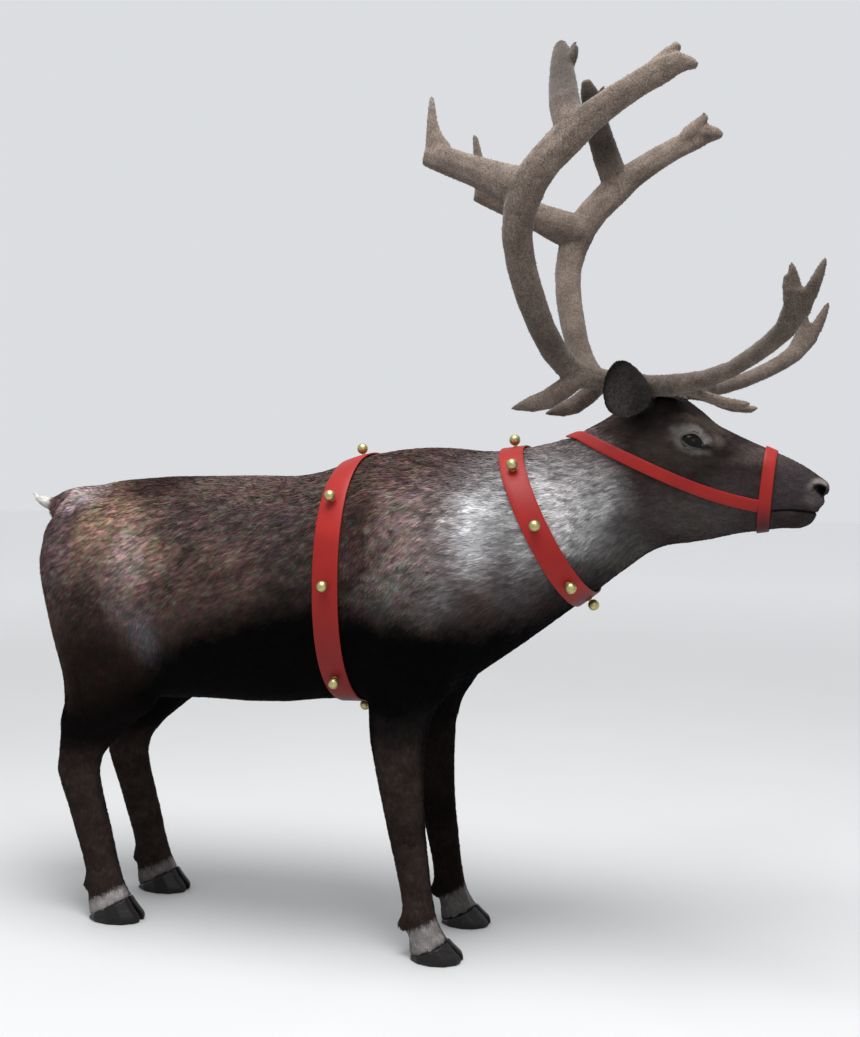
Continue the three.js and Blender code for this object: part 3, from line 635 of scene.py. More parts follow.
def sculpt(skin):
    places, normals, side = mirrored(skin)
    head = head_share(points_of(skin))
    for middle, reach, height in [*HEAD_FORMS.values(), *BODY_FORMS.values()]:
        near = np.exp(-(((places - np.array(middle)) / np.array(reach)) ** 2).sum(1))
        places += normals * (height * near)[:, None]
    away, along = near_line(places, MOUTH_LINE)
    groove = np.exp(-(away / MOUTH_REACH) ** 2) * fade(along, 0, 0.25) * (places[:, 0] > 690)
    places -= normals * (MOUTH_DEPTH * groove)[:, None]
    away, along = near_line(places, TEAR_LINE)
    groove = np.exp(-(away / TEAR_REACH) ** 2) * (places[:, 1] > 40) * (1 - 0.8 * along)
    places -= normals * (TEAR_DEPTH * groove * (head > 0.5))[:, None]
    places = open_nostril(places, normals)
    places = set_eye_socket(places)
    places = draw_in_rump(places)
    put_back(skin, places, side)


# The rump's outline beside the tail in the side view, from below upwards: its height and how far back it is
RUMP_LINE = [(880, -1040), (906, -1027), (936, -1017), (960, -1001), (976, -986), (1000, -973),
             (1024, -960), (1044, -940), (1060, -900)]


def draw_in_rump(places):
    """Keeps the rump beside and below the tail's root within its outline."""
    x, y, z = places.T
    line = np.interp(z, *zip(*RUMP_LINE))
    beyond = np.minimum(x - line, 0)
    off_tail = np.maximum(fade(y, 27, 44), fade(z, 974, 960))
    there = off_tail * fade(z, 890, 930) * fade(z, 1056, 1030)
    places[:, 0] -= beyond * 0.9 * there
    return places


NOSTRIL_BACK, NOSTRIL_FRONT = 788, 822
NOSTRIL_TOP, NOSTRIL_FOOT = 1069, 1041
NOSTRIL_FOOT_X = 811
NOSTRIL_ROUND = 2.2
NOSTRIL_DEPTH = 10.0


def nostril_measure(places):
    """How far inside the nostril each place is, in millimetres: a wedge under the wing, pointing down."""
    x, y, z = places.T
    top = NOSTRIL_TOP - 5.0 * ((x - 797) / 20) ** 2
    reach = np.where(x < NOSTRIL_FOOT_X, NOSTRIL_FOOT_X - NOSTRIL_BACK, NOSTRIL_FRONT - NOSTRIL_FOOT_X)
    foot = NOSTRIL_FOOT + (NOSTRIL_TOP - 2 - NOSTRIL_FOOT) * (np.abs(x - NOSTRIL_FOOT_X) / reach) ** 1.25
    # The lesser of both, with a rounded corner between them
    sides = np.clip(np.stack([top - z, (z - foot) * 0.8]), -40, 40)
    inside = -NOSTRIL_ROUND * np.log(np.exp(-sides / NOSTRIL_ROUND).sum(0))
    return np.where((y > 9) & (x > NOSTRIL_BACK - 4), inside, -9)


def open_nostril(places, normals):
    pit = fade(nostril_measure(places), -2.5, 6.5)
    return places - normals * (NOSTRIL_DEPTH * pit)[:, None]


# Eyes: the ball, the almond between its lids and how far the lids rise over it, in millimetres

EYE_PLACE = (543, 58, 1153)
EYE_RADIUS = 32
EYE_HALF_LENGTH = 24.0
EYE_UPPER, EYE_LOWER = 17.5, 9.0
EYE_TILT = 0.42
LID_RISE = 2.6


def eye_frame():
    """The eye's middle, and its along, up and out directions, on the animal's left."""
    out = np.array((0.2, 1.0, 0.1))
    out /= np.linalg.norm(out)
    along = np.array((1.0, 0.0, -EYE_TILT))
    along -= out * (along @ out)
    along /= np.linalg.norm(along)
    return np.array(EYE_PLACE, float), along, np.cross(out, along) * -1, out


def almond_reach(angle):
    """How far the lids' edge is from the eye's middle line, along and up, at an angle round it."""
    height = np.where(np.sin(angle) > 0, EYE_UPPER, EYE_LOWER)
    ahead, behind = np.maximum(np.cos(angle), 0), np.maximum(-np.cos(angle), 0)
    narrowing = 1 - 0.22 * ahead ** 2 - 0.4 * behind ** 2
    return EYE_HALF_LENGTH * np.cos(angle), height * np.sin(angle) * narrowing


def eye_measure(places):
    """Each place's distance from the way the eye looks, as a share of the almond, and from its centre."""
    middle, along, up, out = eye_frame()
    away = places - middle
    a, b = away @ along, away @ up
    edge = np.hypot(*almond_reach(np.arctan2(b / EYE_UPPER, a / EYE_HALF_LENGTH)))
    distance = np.linalg.norm(away, axis=1)
    behind = (away @ out < -4) | (distance > 70)
    return np.where(behind, 9.0, np.hypot(a, b) / edge), distance


def set_eye_socket(places):
    """Lays the skin close round the ball, and opens it between the lids."""
    middle = np.array(EYE_PLACE, float)
    away = places - middle
    share, distance = eye_measure(places)
    wanted = np.where(share < 1.03, EYE_RADIUS - 2.5, EYE_RADIUS + LID_RISE - 0.6)
    blend = 1 - fade(share, 1.15, 1.75)
    radius = distance + (wanted - distance) * blend
    return middle + away * (radius / np.maximum(distance, 1e-6))[:, None]


def surface_of(piece):
    """The piece's present surface, for rays and nearest places."""
    polygons = [tuple(polygon.vertices) for polygon in piece.data.polygons]
    return BVHTree.FromPolygons([vertex.co.copy() for vertex in piece.data.vertices], polygons)


def set_coat_depth(skin):
    """Draws the skin in by the depth of the coat, and keeps each point's place for the coat's colours."""
    points = points_of(skin)
    places = mirrored(skin)[0]
    # The inside of the nostril, which takes painted shade in the coat's colours
    skin_pit = fade(nostril_measure(places), -3.5, 5.0) * (0.35 + 0.65 * fade(places[:, 0], 788, 806))
    set_points(skin, points - normals_of(skin) * coat_depth(points)[:, None])
    keep_roots(skin, points_of(skin))
    keep_number(skin, "pit", skin_pit)
    unwrap(skin)


def unwrap(piece):
    """Lays out the map that the coat's tufts take their places on."""
    in_edit(piece, lambda: bpy.ops.uv.smart_project(angle_limit=1.15, island_margin=0.002))
    piece.data.uv_layers[0].name = "OFBake"
    smooth(piece)


def keep_number(piece, name, numbers):
    kept = piece.data.attributes.new(name, "FLOAT", "POINT")
    kept.data.foreach_set("value", np.ascontiguousarray(numbers, np.float32))


def keep_roots(piece, roots, tints=None):
    """Each point's root and shade, which the coat's colours read."""
    root = piece.data.attributes.new("root", "FLOAT_VECTOR", "POINT")
    root.data.foreach_set("vector", np.ascontiguousarray(roots, np.float32).ravel())
    keep_number(piece, "tint", np.full(len(roots), 0.5) if tints is None else tints)


# Coat

# How far below the horizontal the hair points, in degrees, at places along the body
LIE_PLACES = (-950, -860, -740, -600, -300, -180, -60, 60, 140, 330, 420, 520, 900)
LIE_SLOPES = (50, 42, 35, 38, 38, 62, 55, 12, 8, 28, 22, -10, -22)
BACK_SLOPE, THIGH_SLOPE, BREAST_SLOPE, LEG_SLOPE, TAIL_SLOPE = 22, 78, 60, 86, -35


def lie_of(points):
    """The way the hair runs, as unit vectors from root to tip, before it is laid on the surface."""
    x = (points[:, 0] - ORIGIN.x) / MM
    z = points[:, 2] / MM
    slope = np.interp(x, LIE_PLACES, LIE_SLOPES)
    back = fade(z, 960, 1080) * (1 - fade(x, -30, 120))
    thigh = (1 - fade(z, 640, 860)) * (1 - fade(x, -640, -520))
    breast = (1 - fade(z, 690, 860)) * fade(x, -60, 60)
    for there, wanted in ((back, BACK_SLOPE), (thigh, THIGH_SLOPE), (breast, BREAST_SLOPE),
                          (leg_share(points), LEG_SLOPE), (tail_share(points), TAIL_SLOPE)):
        slope = slope + (wanted - slope) * there
    angle = np.radians(slope)
    return np.stack([-np.cos(angle), np.zeros_like(x), -np.sin(angle)], 1)


def unit(vectors):
    return vectors / np.maximum(np.linalg.norm(vectors, axis=1, keepdims=True), 1e-9)


def spots_on(piece, density, rng):
    """Random places on a piece, so many to the square metre: their points, normals and UVs."""
    mesh = piece.data
    mesh.calc_loop_triangles()
    corners = read(mesh.loop_triangles, "vertices", 3, np.int32)
    loops = read(mesh.loop_triangles, "loops", 3, np.int32)
    uv = read(mesh.uv_layers["OFBake"].data, "uv", 2)
    points, normals = points_of(piece), normals_of(piece)
    a, b, c = (points[corners[:, k]] for k in range(3))
    area = np.linalg.norm(np.cross(b - a, c - a), axis=1) / 2
    share = np.cumsum(area * density((a + b + c) / 3))
    picked = np.searchsorted(share, rng.random(int(share[-1])) * share[-1])
    first, second = rng.random(len(picked)), rng.random(len(picked))
    folded = first + second > 1
    first[folded], second[folded] = 1 - first[folded], 1 - second[folded]
    weights = np.stack([1 - first - second, first, second], 1)[:, :, None]
    place = (points[corners[picked]] * weights).sum(1)
    normal = unit((normals[corners[picked]] * weights).sum(1))
    return place, normal, (uv[loops[picked]] * weights).sum(1)


# A tuft's patch on the map, how deep its root sits, and how much tufts roll and lean at random
PATCH = 0.003
ROOT_DEPTH = 0.0008
ROLL = 0.35
LEAN, LEAN_SPREAD = 0.12, 0.10
# Where a tuft bends, and its height and half width there, as shares of its length, lift and width
BEND, BEND_LIFT, BEND_WIDTH = 0.48, 0.75, 0.45


def laid(directions, normals):
    """The directions laid flat on the surface."""
    return unit(directions - normals * (directions * normals).sum(1, keepdims=True))


def grow_tufts(name, roots, normals, uvs, along, length, width, lift, rng, material):
    """Flat, tapered tufts with one bend, each in one colour, that lie along the skin."""
    count = len(roots)
    roll = rng.normal(0, ROLL, count)[:, None]
    aside = unit(np.cross(along, normals))
    aside = aside * np.cos(roll) + normals * np.sin(roll)
    length, width, lift = (np.broadcast_to(v, count)[:, None] for v in (length, width, lift))
    base = roots - normals * ROOT_DEPTH
    middle = roots + along * length * BEND + normals * length * lift * BEND_LIFT
    tip = roots + along * length + normals * length * lift
    points = np.stack([base - aside * width / 2, base + aside * width / 2,
                       middle - aside * width * BEND_WIDTH, middle + aside * width * BEND_WIDTH,
                       tip], 1).reshape(-1, 3)
    mesh = bpy.data.meshes.new(name)
    mesh.vertices.add(count * 5)
    mesh.vertices.foreach_set("co", np.ascontiguousarray(points, np.float32).ravel())
    corners = np.array([0, 1, 3, 2, 2, 3, 4])
    index = (np.arange(count)[:, None] * 5 + corners).ravel()
    mesh.loops.add(count * 7)
    mesh.loops.foreach_set("vertex_index", index.astype(np.int32))
    mesh.polygons.add(count * 2)
    starts = (np.arange(count)[:, None] * 7 + np.array([0, 4])).ravel()
    mesh.polygons.foreach_set("loop_start", starts.astype(np.int32))
    mesh.polygons.foreach_set("use_smooth", np.ones(count * 2, bool))
    mesh.update(calc_edges=True)
    spread = np.array([[-1, -1], [1, -1], [1, 0], [-1, 0], [-1, 0], [1, 0], [0, 1]]) * PATCH / 2
    layer = mesh.uv_layers.new(name="OFBake")
    layer.data.foreach_set("uv", (uvs[:, None, :] + spread).astype(np.float32).ravel())
    mesh.materials.append(material)
    # Each tuft is lit much as the skin under it is, so that the coat looks soft
    leaning = unit(normals + along * LEAN + rng.normal(0, LEAN_SPREAD, (count, 3)))
    mesh.normals_split_custom_set_from_vertices(np.repeat(leaning, 5, 0))
    piece = linked(name, mesh)
    keep_roots(piece, np.repeat(roots, 5, 0), np.repeat(rng.random(count), 5))
    return piece


TUFTS = {"trunk": 120000, "legs": 110000, "head": 180000}
TUFT_LENGTH = {"trunk": 0.0155, "legs": 0.009, "head": 0.0046}
TUFT_WIDTH = {"trunk": 0.0018, "legs": 0.0015, "head": 0.0010}
# How much tufts differ in length, width and lift, and how far each strays from the way the hair runs
LENGTHS, WIDTHS, LIFTS = (0.7, 1.2), (0.75, 1.25), (0.07, 0.18)
STRAY = 0.11
# How far under a strap's edge tufts still grow
STRAP_HIDES = 0.006
TRUNK_STEPS = (-2, -0.70, -0.50, -0.30, -0.10, 0.07, 0.22, 2)


def share_of(kind, points):
    """A size of the coat, blended between trunk, legs and head."""
    head, leg = head_share(points), leg_share(points)
    return (kind["trunk"] * (1 - leg) + kind["legs"] * leg) * (1 - head) + kind["head"] * head


def in_the_open(points, straps):
    """Where hair shows: not in the eyes or nostrils, and not under the middle of a strap."""
    places = (points - np.array(ORIGIN)) / MM
    places[:, 1] = np.abs(places[:, 1])
    shows = (nostril_measure(places) < -1) & (eye_measure(places)[0] > 1.25)
    for line, width in straps:
        line = np.array([tuple(place) for place in line])
        close = np.flatnonzero(((points > line.min(0) - width) & (points < line.max(0) + width)).all(1))
        for part in np.array_split(close, max(1, len(close) // 4000)):
            away = np.linalg.norm(points[part, None, :] - line[None], axis=2).min(1)
            shows[part] &= away > width / 2 - STRAP_HIDES
    return shows


def make_coat(skin, material, straps):
    """Tufts over the whole skin, in pieces of a size that the export keeps."""
    rng = np.random.default_rng(11)
    thin = 1.0
    roots, normals, uvs = spots_on(skin, lambda middles: thin * share_of(TUFTS, middles), rng)
    shows = in_the_open(roots, straps)
    roots, normals, uvs = roots[shows], normals[shows], uvs[shows]
    head, leg, tail = head_share(roots), leg_share(roots), tail_share(roots)
    along = laid(lie_of(roots) + rng.normal(0, STRAY, (len(roots), 3)), normals)
    length = share_of(TUFT_LENGTH, roots) * rng.uniform(*LENGTHS, len(roots)) * (1 - 0.3 * tail)
    width = share_of(TUFT_WIDTH, roots) * rng.uniform(*WIDTHS, len(roots))
    lift = rng.uniform(*LIFTS, len(roots))
    regions = {
        "coat_face": head > 0.5,
        "coat_front_legs": (leg > 0.5) & (roots[:, 0] > 0),
        "coat_hind_legs": (leg > 0.5) & (roots[:, 0] <= 0),
    }
    rest = (head <= 0.5) & (leg <= 0.5)
    for k, (start, end) in enumerate(zip(TRUNK_STEPS, TRUNK_STEPS[1:])):
        regions[f"coat_trunk_{k + 1}"] = rest & (roots[:, 0] >= start) & (roots[:, 0] < end)
    for name, chosen in regions.items():
        parts = (part[chosen] for part in (roots, normals, uvs, along, length, width, lift))
        ride_on(grow_tufts(name, *parts, rng, material), "coat")


# The coat's markings, each over the ones before it: the middle along and up, the reach along and up in
# millimetres, the softness of the edge, how fully it covers, and the colour
MARKINGS = {
    "pale back": ((-500, 1085), (260, 40), 0.5, 0.35, tone(120, 108, 112)),
    "dark croup": ((-705, 1068), (95, 38), 0.7, 0.9, tone(63, 50, 51)),
    "haunch, ochre": ((-785, 930), (150, 90), 0.7, 1.0, tone(182, 157, 140)),
    "haunch, pink": ((-775, 865), (130, 85), 0.7, 0.9, tone(176, 154, 148)),
    "haunch, pale": ((-716, 905), (44, 66), 0.9, 0.8, tone(200, 190, 190)),
    "rump": ((-950, 930), (70, 160), 0.5, 0.8, tone(121, 106, 114)),
    "rump top": ((-925, 1034), (78, 34), 0.7, 0.9, tone(196, 183, 189)),
    "thigh back": ((-840, 735), (105, 130), 0.7, 0.9, tone(70, 60, 60)),
    "thigh streak, up": ((-740, 805), (44, 70), 0.8, 0.7, tone(140, 131, 134)),
    "thigh streak, low": ((-672, 706), (42, 76), 0.8, 0.95, tone(127, 125, 135)),
    "lower thigh": ((-810, 600), (150, 118), 0.8, 1.0, tone(42, 34, 32)),
    "flank front": ((-290, 880), (80, 190), 0.6, 0.8, tone(85, 77, 78)),
    "girth front": ((-170, 900), (60, 220), 0.5, 0.7, tone(70, 58, 57)),
    "upper flank": ((-500, 985), (210, 52), 0.6, 0.6, tone(90, 81, 86)),
    "withers": ((-40, 1120), (130, 50), 0.5, 0.7, tone(90, 76, 75)),
    "shoulder": ((-15, 935), (85, 130), 0.7, 1.0, tone(162, 150, 151)),
    "shoulder low": ((-30, 820), (100, 70), 0.7, 0.9, tone(138, 135, 137)),
    "pale shoulder": ((120, 982), (66, 98), 0.8, 1.0, tone(258, 256, 258)),
    "over the shoulder": ((110, 1085), (70, 45), 0.7, 0.8, tone(140, 131, 132)),
    "behind the collar": ((190, 915), (46, 150), 0.7, 0.75, tone(122, 116, 118)),
    "neck": ((276, 1008), (140, 124), 0.6, 1.0, tone(204, 203, 203)),
    "neck, palest": ((266, 1030), (72, 90), 0.8, 1.0, tone(243, 239, 240)),
    "nape": ((270, 1155), (140, 34), 0.5, 0.6, tone(152, 140, 138)),
    "under the neck": ((335, 868), (100, 44), 0.7, 0.9, tone(99, 94, 93)),
    "neck's crest": ((300, 1110), (90, 50), 0.7, 0.5, tone(160, 148, 147)),
}
# The height of the black belly's edge along the body, in millimetres
BELLY_LINE = [(-980, 470), (-860, 480), (-760, 550), (-700, 605), (-640, 672), (-522, 734), (-370, 774),
              (-252, 800), (-96, 772), (14, 756), (105, 752), (210, 774), (300, 812), (420, 850)]


# Faint hues of the hair behind the shoulder, bluish, rosy, reddish, olive, greenish and violet in turn
HUES = (
    (0.30, (0.86, 0.98, 1.16, 1)),
    (0.40, (1.18, 0.89, 1.02, 1)),
    (0.47, (1.30, 0.89, 0.82, 1)),
    (0.53, (1.08, 1.05, 0.78, 1)),
    (0.60, (0.84, 1.09, 0.88, 1)),
    (0.70, (1.08, 0.93, 1.12, 1)),
)


# The sizes, in metres, of the coat's flecks, hairs, clouds, hues and mottling
FLECK, HAIR, CLOUD, HUE, MOTTLE = 0.0075, 0.0028, 0.05, 0.020, 0.017
# How far flecks slope, in degrees, and how long they and the hairs are drawn out
FLECK_SLOPE = -36
FLECK_STRETCH, HAIR_STRETCH = 0.4, 0.35
# How far the edges of markings wander, and over what size, in metres
WANDER, WANDER_SIZE = 0.03, 0.07


def coat_paint():
    """Mottled hair with the markings of trunk, head, legs and tail, for the skin and its tufts alike."""
    paint = Paint("coat", "root")
    lie = paint.moved(paint.place, turn=(0, math.radians(FLECK_SLOPE), 0), stretch=(FLECK_STRETCH, 1, 1))
    fleck = paint.noise(FLECK, detail=3, rough=0.6, place=lie)
    hair = paint.noise(HAIR, detail=1, place=paint.moved(lie, stretch=(HAIR_STRETCH, 1, 1)))
    cloud = paint.noise(CLOUD, detail=4, rough=0.6)
    tint = paint.attribute("tint")
    place = paint.wandering(paint.alike, WANDER_SIZE, WANDER)
    broken = (fleck - 0.5) * 1.1 + (tint - 0.5) * 0.18
    colour = trunk_colour(paint, place, lie, cloud, broken)
    colour = head_colour(paint, colour, place, fleck, cloud)
    colour = leg_colour(paint, colour, broken, cloud)
    tail = paint.spread(paint.x, TAIL_ROOT + 0.012, TAIL_ROOT - 0.012)
    # The tail's pale hair, with painted shade that makes it darker the lower it is, on its underside and at
    # its root
    tail_tone_and_shade = paint.mix(paint.spread(paint.z, 0.975, 1.012), tone(160, 154, 148), tone(266, 260, 254))
    colour = paint.mix(tail, colour, tail_tone_and_shade)
    colour = paint.scaled(colour, coat_shade(paint, lie, fleck, hair, tint, tail))
    return paint.done(colour, 0.9, paint.bump(hair, 0.0007), Specular_IOR_Level=0.04)


def covers(paint, mask, broken, amount):
    """How far a marking covers, with an edge that breaks up into tufts."""
    return paint.spread(mask + broken * 0.4 * paint.spread(mask, 0.0, 0.3), 0.0, 1.0) * amount


def trunk_colour(paint, place, lie, cloud, broken):
    """The grey-brown trunk with its markings, faint hues, flecked neck and black belly."""
    colour = paint.mix(paint.spread(cloud, 0.35, 0.65), tone(99, 83, 80), tone(124, 108, 105))
    for centre, reach, soft, amount, marking in MARKINGS.values():
        mask = paint.from_side(centre, reach, soft, place)
        colour = paint.mix(covers(paint, mask, broken, amount), colour, marking)
    hue = paint.noise(HUE, detail=4, rough=0.65, warp=0.6)
    hues = paint.vector("MULTIPLY", colour, paint.ramp(hue, *HUES))
    colour = paint.mix(paint.ahead(90, -60) * 0.82, colour, hues)
    flecks = paint.spread(paint.noise(0.011, detail=1, place=lie), 0.5, 0.72)
    neck = paint.from_side((280, 1020), (150, 150), 0.4, paint.alike)
    colour = paint.mix(flecks * neck * 0.6, colour, tone(92, 86, 84))
    belly = paint.profile(paint.x, BELLY_LINE) - paint.z + (cloud - 0.5) * 0.09 + broken * 0.06
    colour = paint.mix(paint.spread(belly, -0.105, 0.035), colour, tone(8, 7, 7))
    throat = paint.from_side((455, 950), (80, 75), 0.6, place)
    return paint.mix(covers(paint, throat, broken, 0.95), colour, tone(98, 95, 93))


def coat_shade(paint, lie, fleck, hair, tint, tail):
    """Light and dark hairs, which stand out most on the trunk and least on the face and tail."""
    pale_part = paint.ahead(0, 80) * 0.38
    low_part = paint.spread(paint.z, 0.86, 0.62) * (1 - pale_part) * 0.55
    streaks = 1 - pale_part - low_part - paint.ahead(380, 450) * 0.36
    streaks = paint.scalar("MAXIMUM", streaks - tail * 0.7, 0.12)
    mottle = paint.noise(MOTTLE, detail=3, rough=0.6, place=lie, warp=0.3)
    shade = paint.spread(fleck, 0.3, 0.7, 0.46, 1.3) * paint.spread(mottle, 0.32, 0.68, 0.6, 1.3)
    shade = shade * paint.spread(hair, 0.3, 0.7, 0.72, 1.22) * (tint * 0.32 + 0.84) * 1.1
    return 1 + (shade - 1) * streaks


# Where the face's colour begins and is full, along the body at the throat, in millimetres
FACE_START, FACE_FULL = 378, 462
# The eye ring's inner height and how far it sits above the eye's middle, in millimetres
RING_HEIGHT, RING_RISE = 14, 4
# The middle and reach of the painted highlight on the rim over the nostril
NOSE_WING = (803, 30, 1055)
NOSE_WING_REACH = (0.017, 0.05, 0.016)


def head_colour(paint, colour, place, fleck, cloud):
    """The dark face with its grey jaw and muzzle."""
    across = paint.x + (paint.z - 1.05) * 0.35 + (cloud - 0.5) * 0.07
    face = paint.spread(across, at(FACE_START, 0, 0).x, at(FACE_FULL, 0, 0).x)
    skin = paint.mix(paint.spread(cloud, 0.35, 0.65), tone(52, 43, 43), tone(70, 59, 58))
    colour = paint.mix(face, colour, skin)
    for centre, reach, soft, amount, marking in FACE_MARKINGS.values():
        mask = paint.from_side(centre, reach, soft, place)
        colour = paint.mix(mask * amount * (fleck * 0.6 + 0.7), colour, marking)
    return muzzle_colour(paint, eye_colour(paint, colour, fleck))


def eye_colour(paint, colour, fleck):
    """The ring round the eye, palest above and ahead, and the marks at the eye's front corner."""
    middle, along, up, out = (Vector(v) for v in eye_frame())
    away = paint.vector("SUBTRACT", paint.alike, at(*middle))
    a, b, depth = (paint.vector("DOT_PRODUCT", away, way, "Value") for way in (along, up, out))
    a = a / (EYE_HALF_LENGTH * MM)
    b = (b - RING_RISE * MM) / (RING_HEIGHT * MM)
    outside = paint.spread(depth, 0.0, 0.012)
    longer = a + paint.scalar("MAXIMUM", a, 0.0) * 0.28
    uneven = (fleck - 0.5) * 0.3 + (paint.noise(0.018, detail=2) - 0.5) * 1.1
    off = (longer * longer + b * b) ** 0.5 + uneven
    ring = paint.spread(off, 0.9, 1.05) * paint.spread(off, 2.6, 1.3) * outside
    above = paint.spread(b + a * 0.35, -1.2, 0.9, 0.5, 1.0)
    pale = paint.mix(paint.spread(a + b * 0.5, -1.5, 1.0), tone(142, 137, 133), tone(169, 164, 157))
    colour = paint.mix(ring * above, colour, pale)
    near = paint.wandering(paint.alike, 0.012, 0.004)
    for (x, z), (reach, height), soft, amount, marking in TEAR_MARKINGS:
        mask = paint.patch(at(x, TEAR_ASIDE, z), (reach, 40, height), soft, near)
        colour = paint.mix(mask * amount * outside, colour, marking)
    return colour


def muzzle_colour(paint, colour):
    """A painted highlight on the rim over the nostril, the dark line of the lips, and painted shade filling
    the inside of the nostril.
    """
    # Painted highlight: a pale band on the upper side of the rim over the nostril, where light from above
    # catches it
    away = paint.vector("SUBTRACT", paint.alike, at(*NOSE_WING))
    off = paint.vector("LENGTH", paint.vector("DIVIDE", away, NOSE_WING_REACH), (0, 0, 0), "Value")
    wing = paint.spread(off, 0.75, 1.05) * paint.spread(off, 1.85, 1.1) * paint.ahead(778, 798, 0.35, 1.0)
    sloped = paint.z - at(0, 0, 1056).z - (paint.x - at(*NOSE_WING).x) * 0.15
    colour = paint.mix(wing * paint.spread(sloped, -0.008, 0.014), colour, tone(170, 161, 155))
    lip_line = paint.profile(paint.x, MOUTH_LINE) - paint.z
    lip = paint.spread(lip_line, -0.0035, -0.001) * paint.spread(lip_line, 0.0045, 0.0015)
    colour = paint.mix(lip * paint.ahead(700, 715) * 0.85, colour, tone(14, 12, 12))
    # Painted shade: the inside of the nostril is nearly black
    return paint.mix(paint.attribute("pit"), colour, tone(7, 6, 6))


# How far to the side the marks round the eye's front corner are, in millimetres
TEAR_ASIDE = 76
# Round the eye's front corner: two pale spots, the dark streak ahead of it and the bare dark corner
TEAR_MARKINGS = (
    ((602, 1163), (12, 19), 0.8, 0.5, tone(132, 118, 108)),
    ((584, 1133), (9, 7), 0.8, 0.5, tone(134, 118, 114)),
    ((612, 1135), (34, 12), 0.9, 0.7, tone(36, 32, 30)),
    ((575, 1145), (13, 6.5), 0.6, 0.9, tone(17, 14, 15)),
)
FACE_MARKINGS = {
    "poll": ((478, 1230), (80, 42), 0.5, 0.95, tone(28, 23, 21)),
    "cheek": ((500, 1125), (100, 40), 0.6, 0.6, tone(66, 59, 53)),
    "brown forehead": ((572, 1196), (60, 14), 0.6, 0.85, tone(82, 71, 64)),
    "nose bridge": ((700, 1128), (75, 26), 0.6, 0.8, tone(96, 84, 81)),
    "jaw": ((560, 1005), (120, 45), 0.6, 0.8, tone(89, 83, 80)),
    "cheek light": ((632, 1065), (55, 24), 0.6, 0.45, tone(92, 80, 80)),
    "muzzle": ((760, 1060), (60, 60), 0.6, 0.7, tone(78, 70, 73)),
    "lip front": ((800, 1030), (26, 18), 0.5, 0.7, tone(113, 104, 103)),
    "chin": ((765, 985), (45, 18), 0.5, 0.7, tone(62, 55, 54)),
}


def leg_colour(paint, colour, broken, cloud):
    """Dark legs, browner below, with a pale ring of hair over each hoof, and painted shade on the inner
    sides of both.
    """
    front = paint.spread(paint.x, 0.0, 0.02)
    leg = paint.spread(paint.z + (cloud - 0.5) * 0.12, 0.60, 0.50)
    brown = paint.mix(paint.spread(cloud, 0.35, 0.65), tone(58, 47, 43), tone(69, 57, 53))
    high = paint.mix(front, tone(17, 13, 12), tone(35, 31, 30))
    dark = paint.mix(paint.spread(paint.z - front * 0.07, 0.36, 0.46), brown, high)
    knee = paint.from_side((-80, 285), (70, 40), 0.7, paint.alike)
    dark = paint.mix(knee * 0.5, dark, tone(34, 27, 25))
    # Painted shade: the inner sides of the legs, where the body and the other legs shade them, are darker,
    # the front legs most
    inner = paint.spread(paint.aside - paint.z * 0.05, 0.122, 0.098) * leg
    dark = paint.scaled(dark, 1 - inner * (front * 0.5 + 0.25))
    colour = paint.mix(leg, colour, dark)
    front_top = (paint.x - ORIGIN.x) * FRONT_BAND_SLOPE
    hind_top = (paint.x - at(HIND_FOOT, 0, 0).x) * HIND_BAND_SLOPE
    top = front * (front_top - hind_top) + hind_top + BAND_TOP
    band = paint.spread(top - paint.z + broken * 0.016, -0.007, 0.007)
    pale = paint.mix(front, tone(198, 190, 189), tone(174, 167, 166))
    # The pale ring takes the same painted shade on the inner sides
    return paint.mix(band * (1 - inner * 0.68) * 0.9, colour, pale)


# Where the hind feet stand, in millimetres, and the upper edge of the pale ring on each foot: its height in
# front, in metres, and its fall towards the heel
HIND_FOOT = -778
BAND_TOP = 0.095
FRONT_BAND_SLOPE = 0.52
HIND_BAND_SLOPE = 0.46


# Ears

def ear_paint():
    """Dark grey hair, paler in the middle of the ear's back, black along the rim."""
    paint = Paint("ear_coat", "root")
    cloud = paint.noise(0.034, detail=2, rough=0.5)
    lie = paint.moved(paint.place, turn=(0, math.radians(35), 0), stretch=(1, 1, 0.22))
    hair = paint.noise(0.0018, detail=2, place=lie)
    tint = paint.attribute("tint")
    edge = paint.attribute("rim")
    colour = paint.mix(paint.spread(cloud, 0.3, 0.7), tone(56, 51, 50), tone(76, 70, 69))
    pale = paint.patch(at(402, 150, 1243), (34, 60, 30), 0.8)
    colour = paint.mix(pale * 0.6, colour, tone(86, 80, 79))
    colour = paint.mix(paint.spread(edge + (cloud - 0.5) * 0.1, 0.70, 1.1), colour, tone(33, 28, 28))
    root = paint.spread(paint.aside, 0.118, 0.096)
    colour = paint.mix(root, colour, tone(24, 20, 19))
    shade = paint.spread(hair, 0.32, 0.68, 0.55, 1.45) * (tint * 0.5 + 0.75)
    return paint.done(paint.scaled(colour, shade), 0.85, paint.bump(hair, 0.0005), Specular_IOR_Level=0.07)


def rim_share(points, side):
    """1 at the ear's edge and tip, 0 in its middle, by how far a point is from the ear's middle line."""
    lowest, highest = (np.array(corner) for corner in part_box(f"ear_{side}"))
    middle, reach = (lowest + highest) / 2, (highest - lowest) / 2
    away = (points - middle) / reach
    return np.clip(np.linalg.norm(away, axis=1) / 1.15, 0, 1) ** 1.5


EAR_VOXEL = 0.0024
EAR_FOOT, EAR_TIP = (431, 114, 1210), (406, 172, 1326)
EAR_ACROSS = (0.92, -0.23, 0.31)
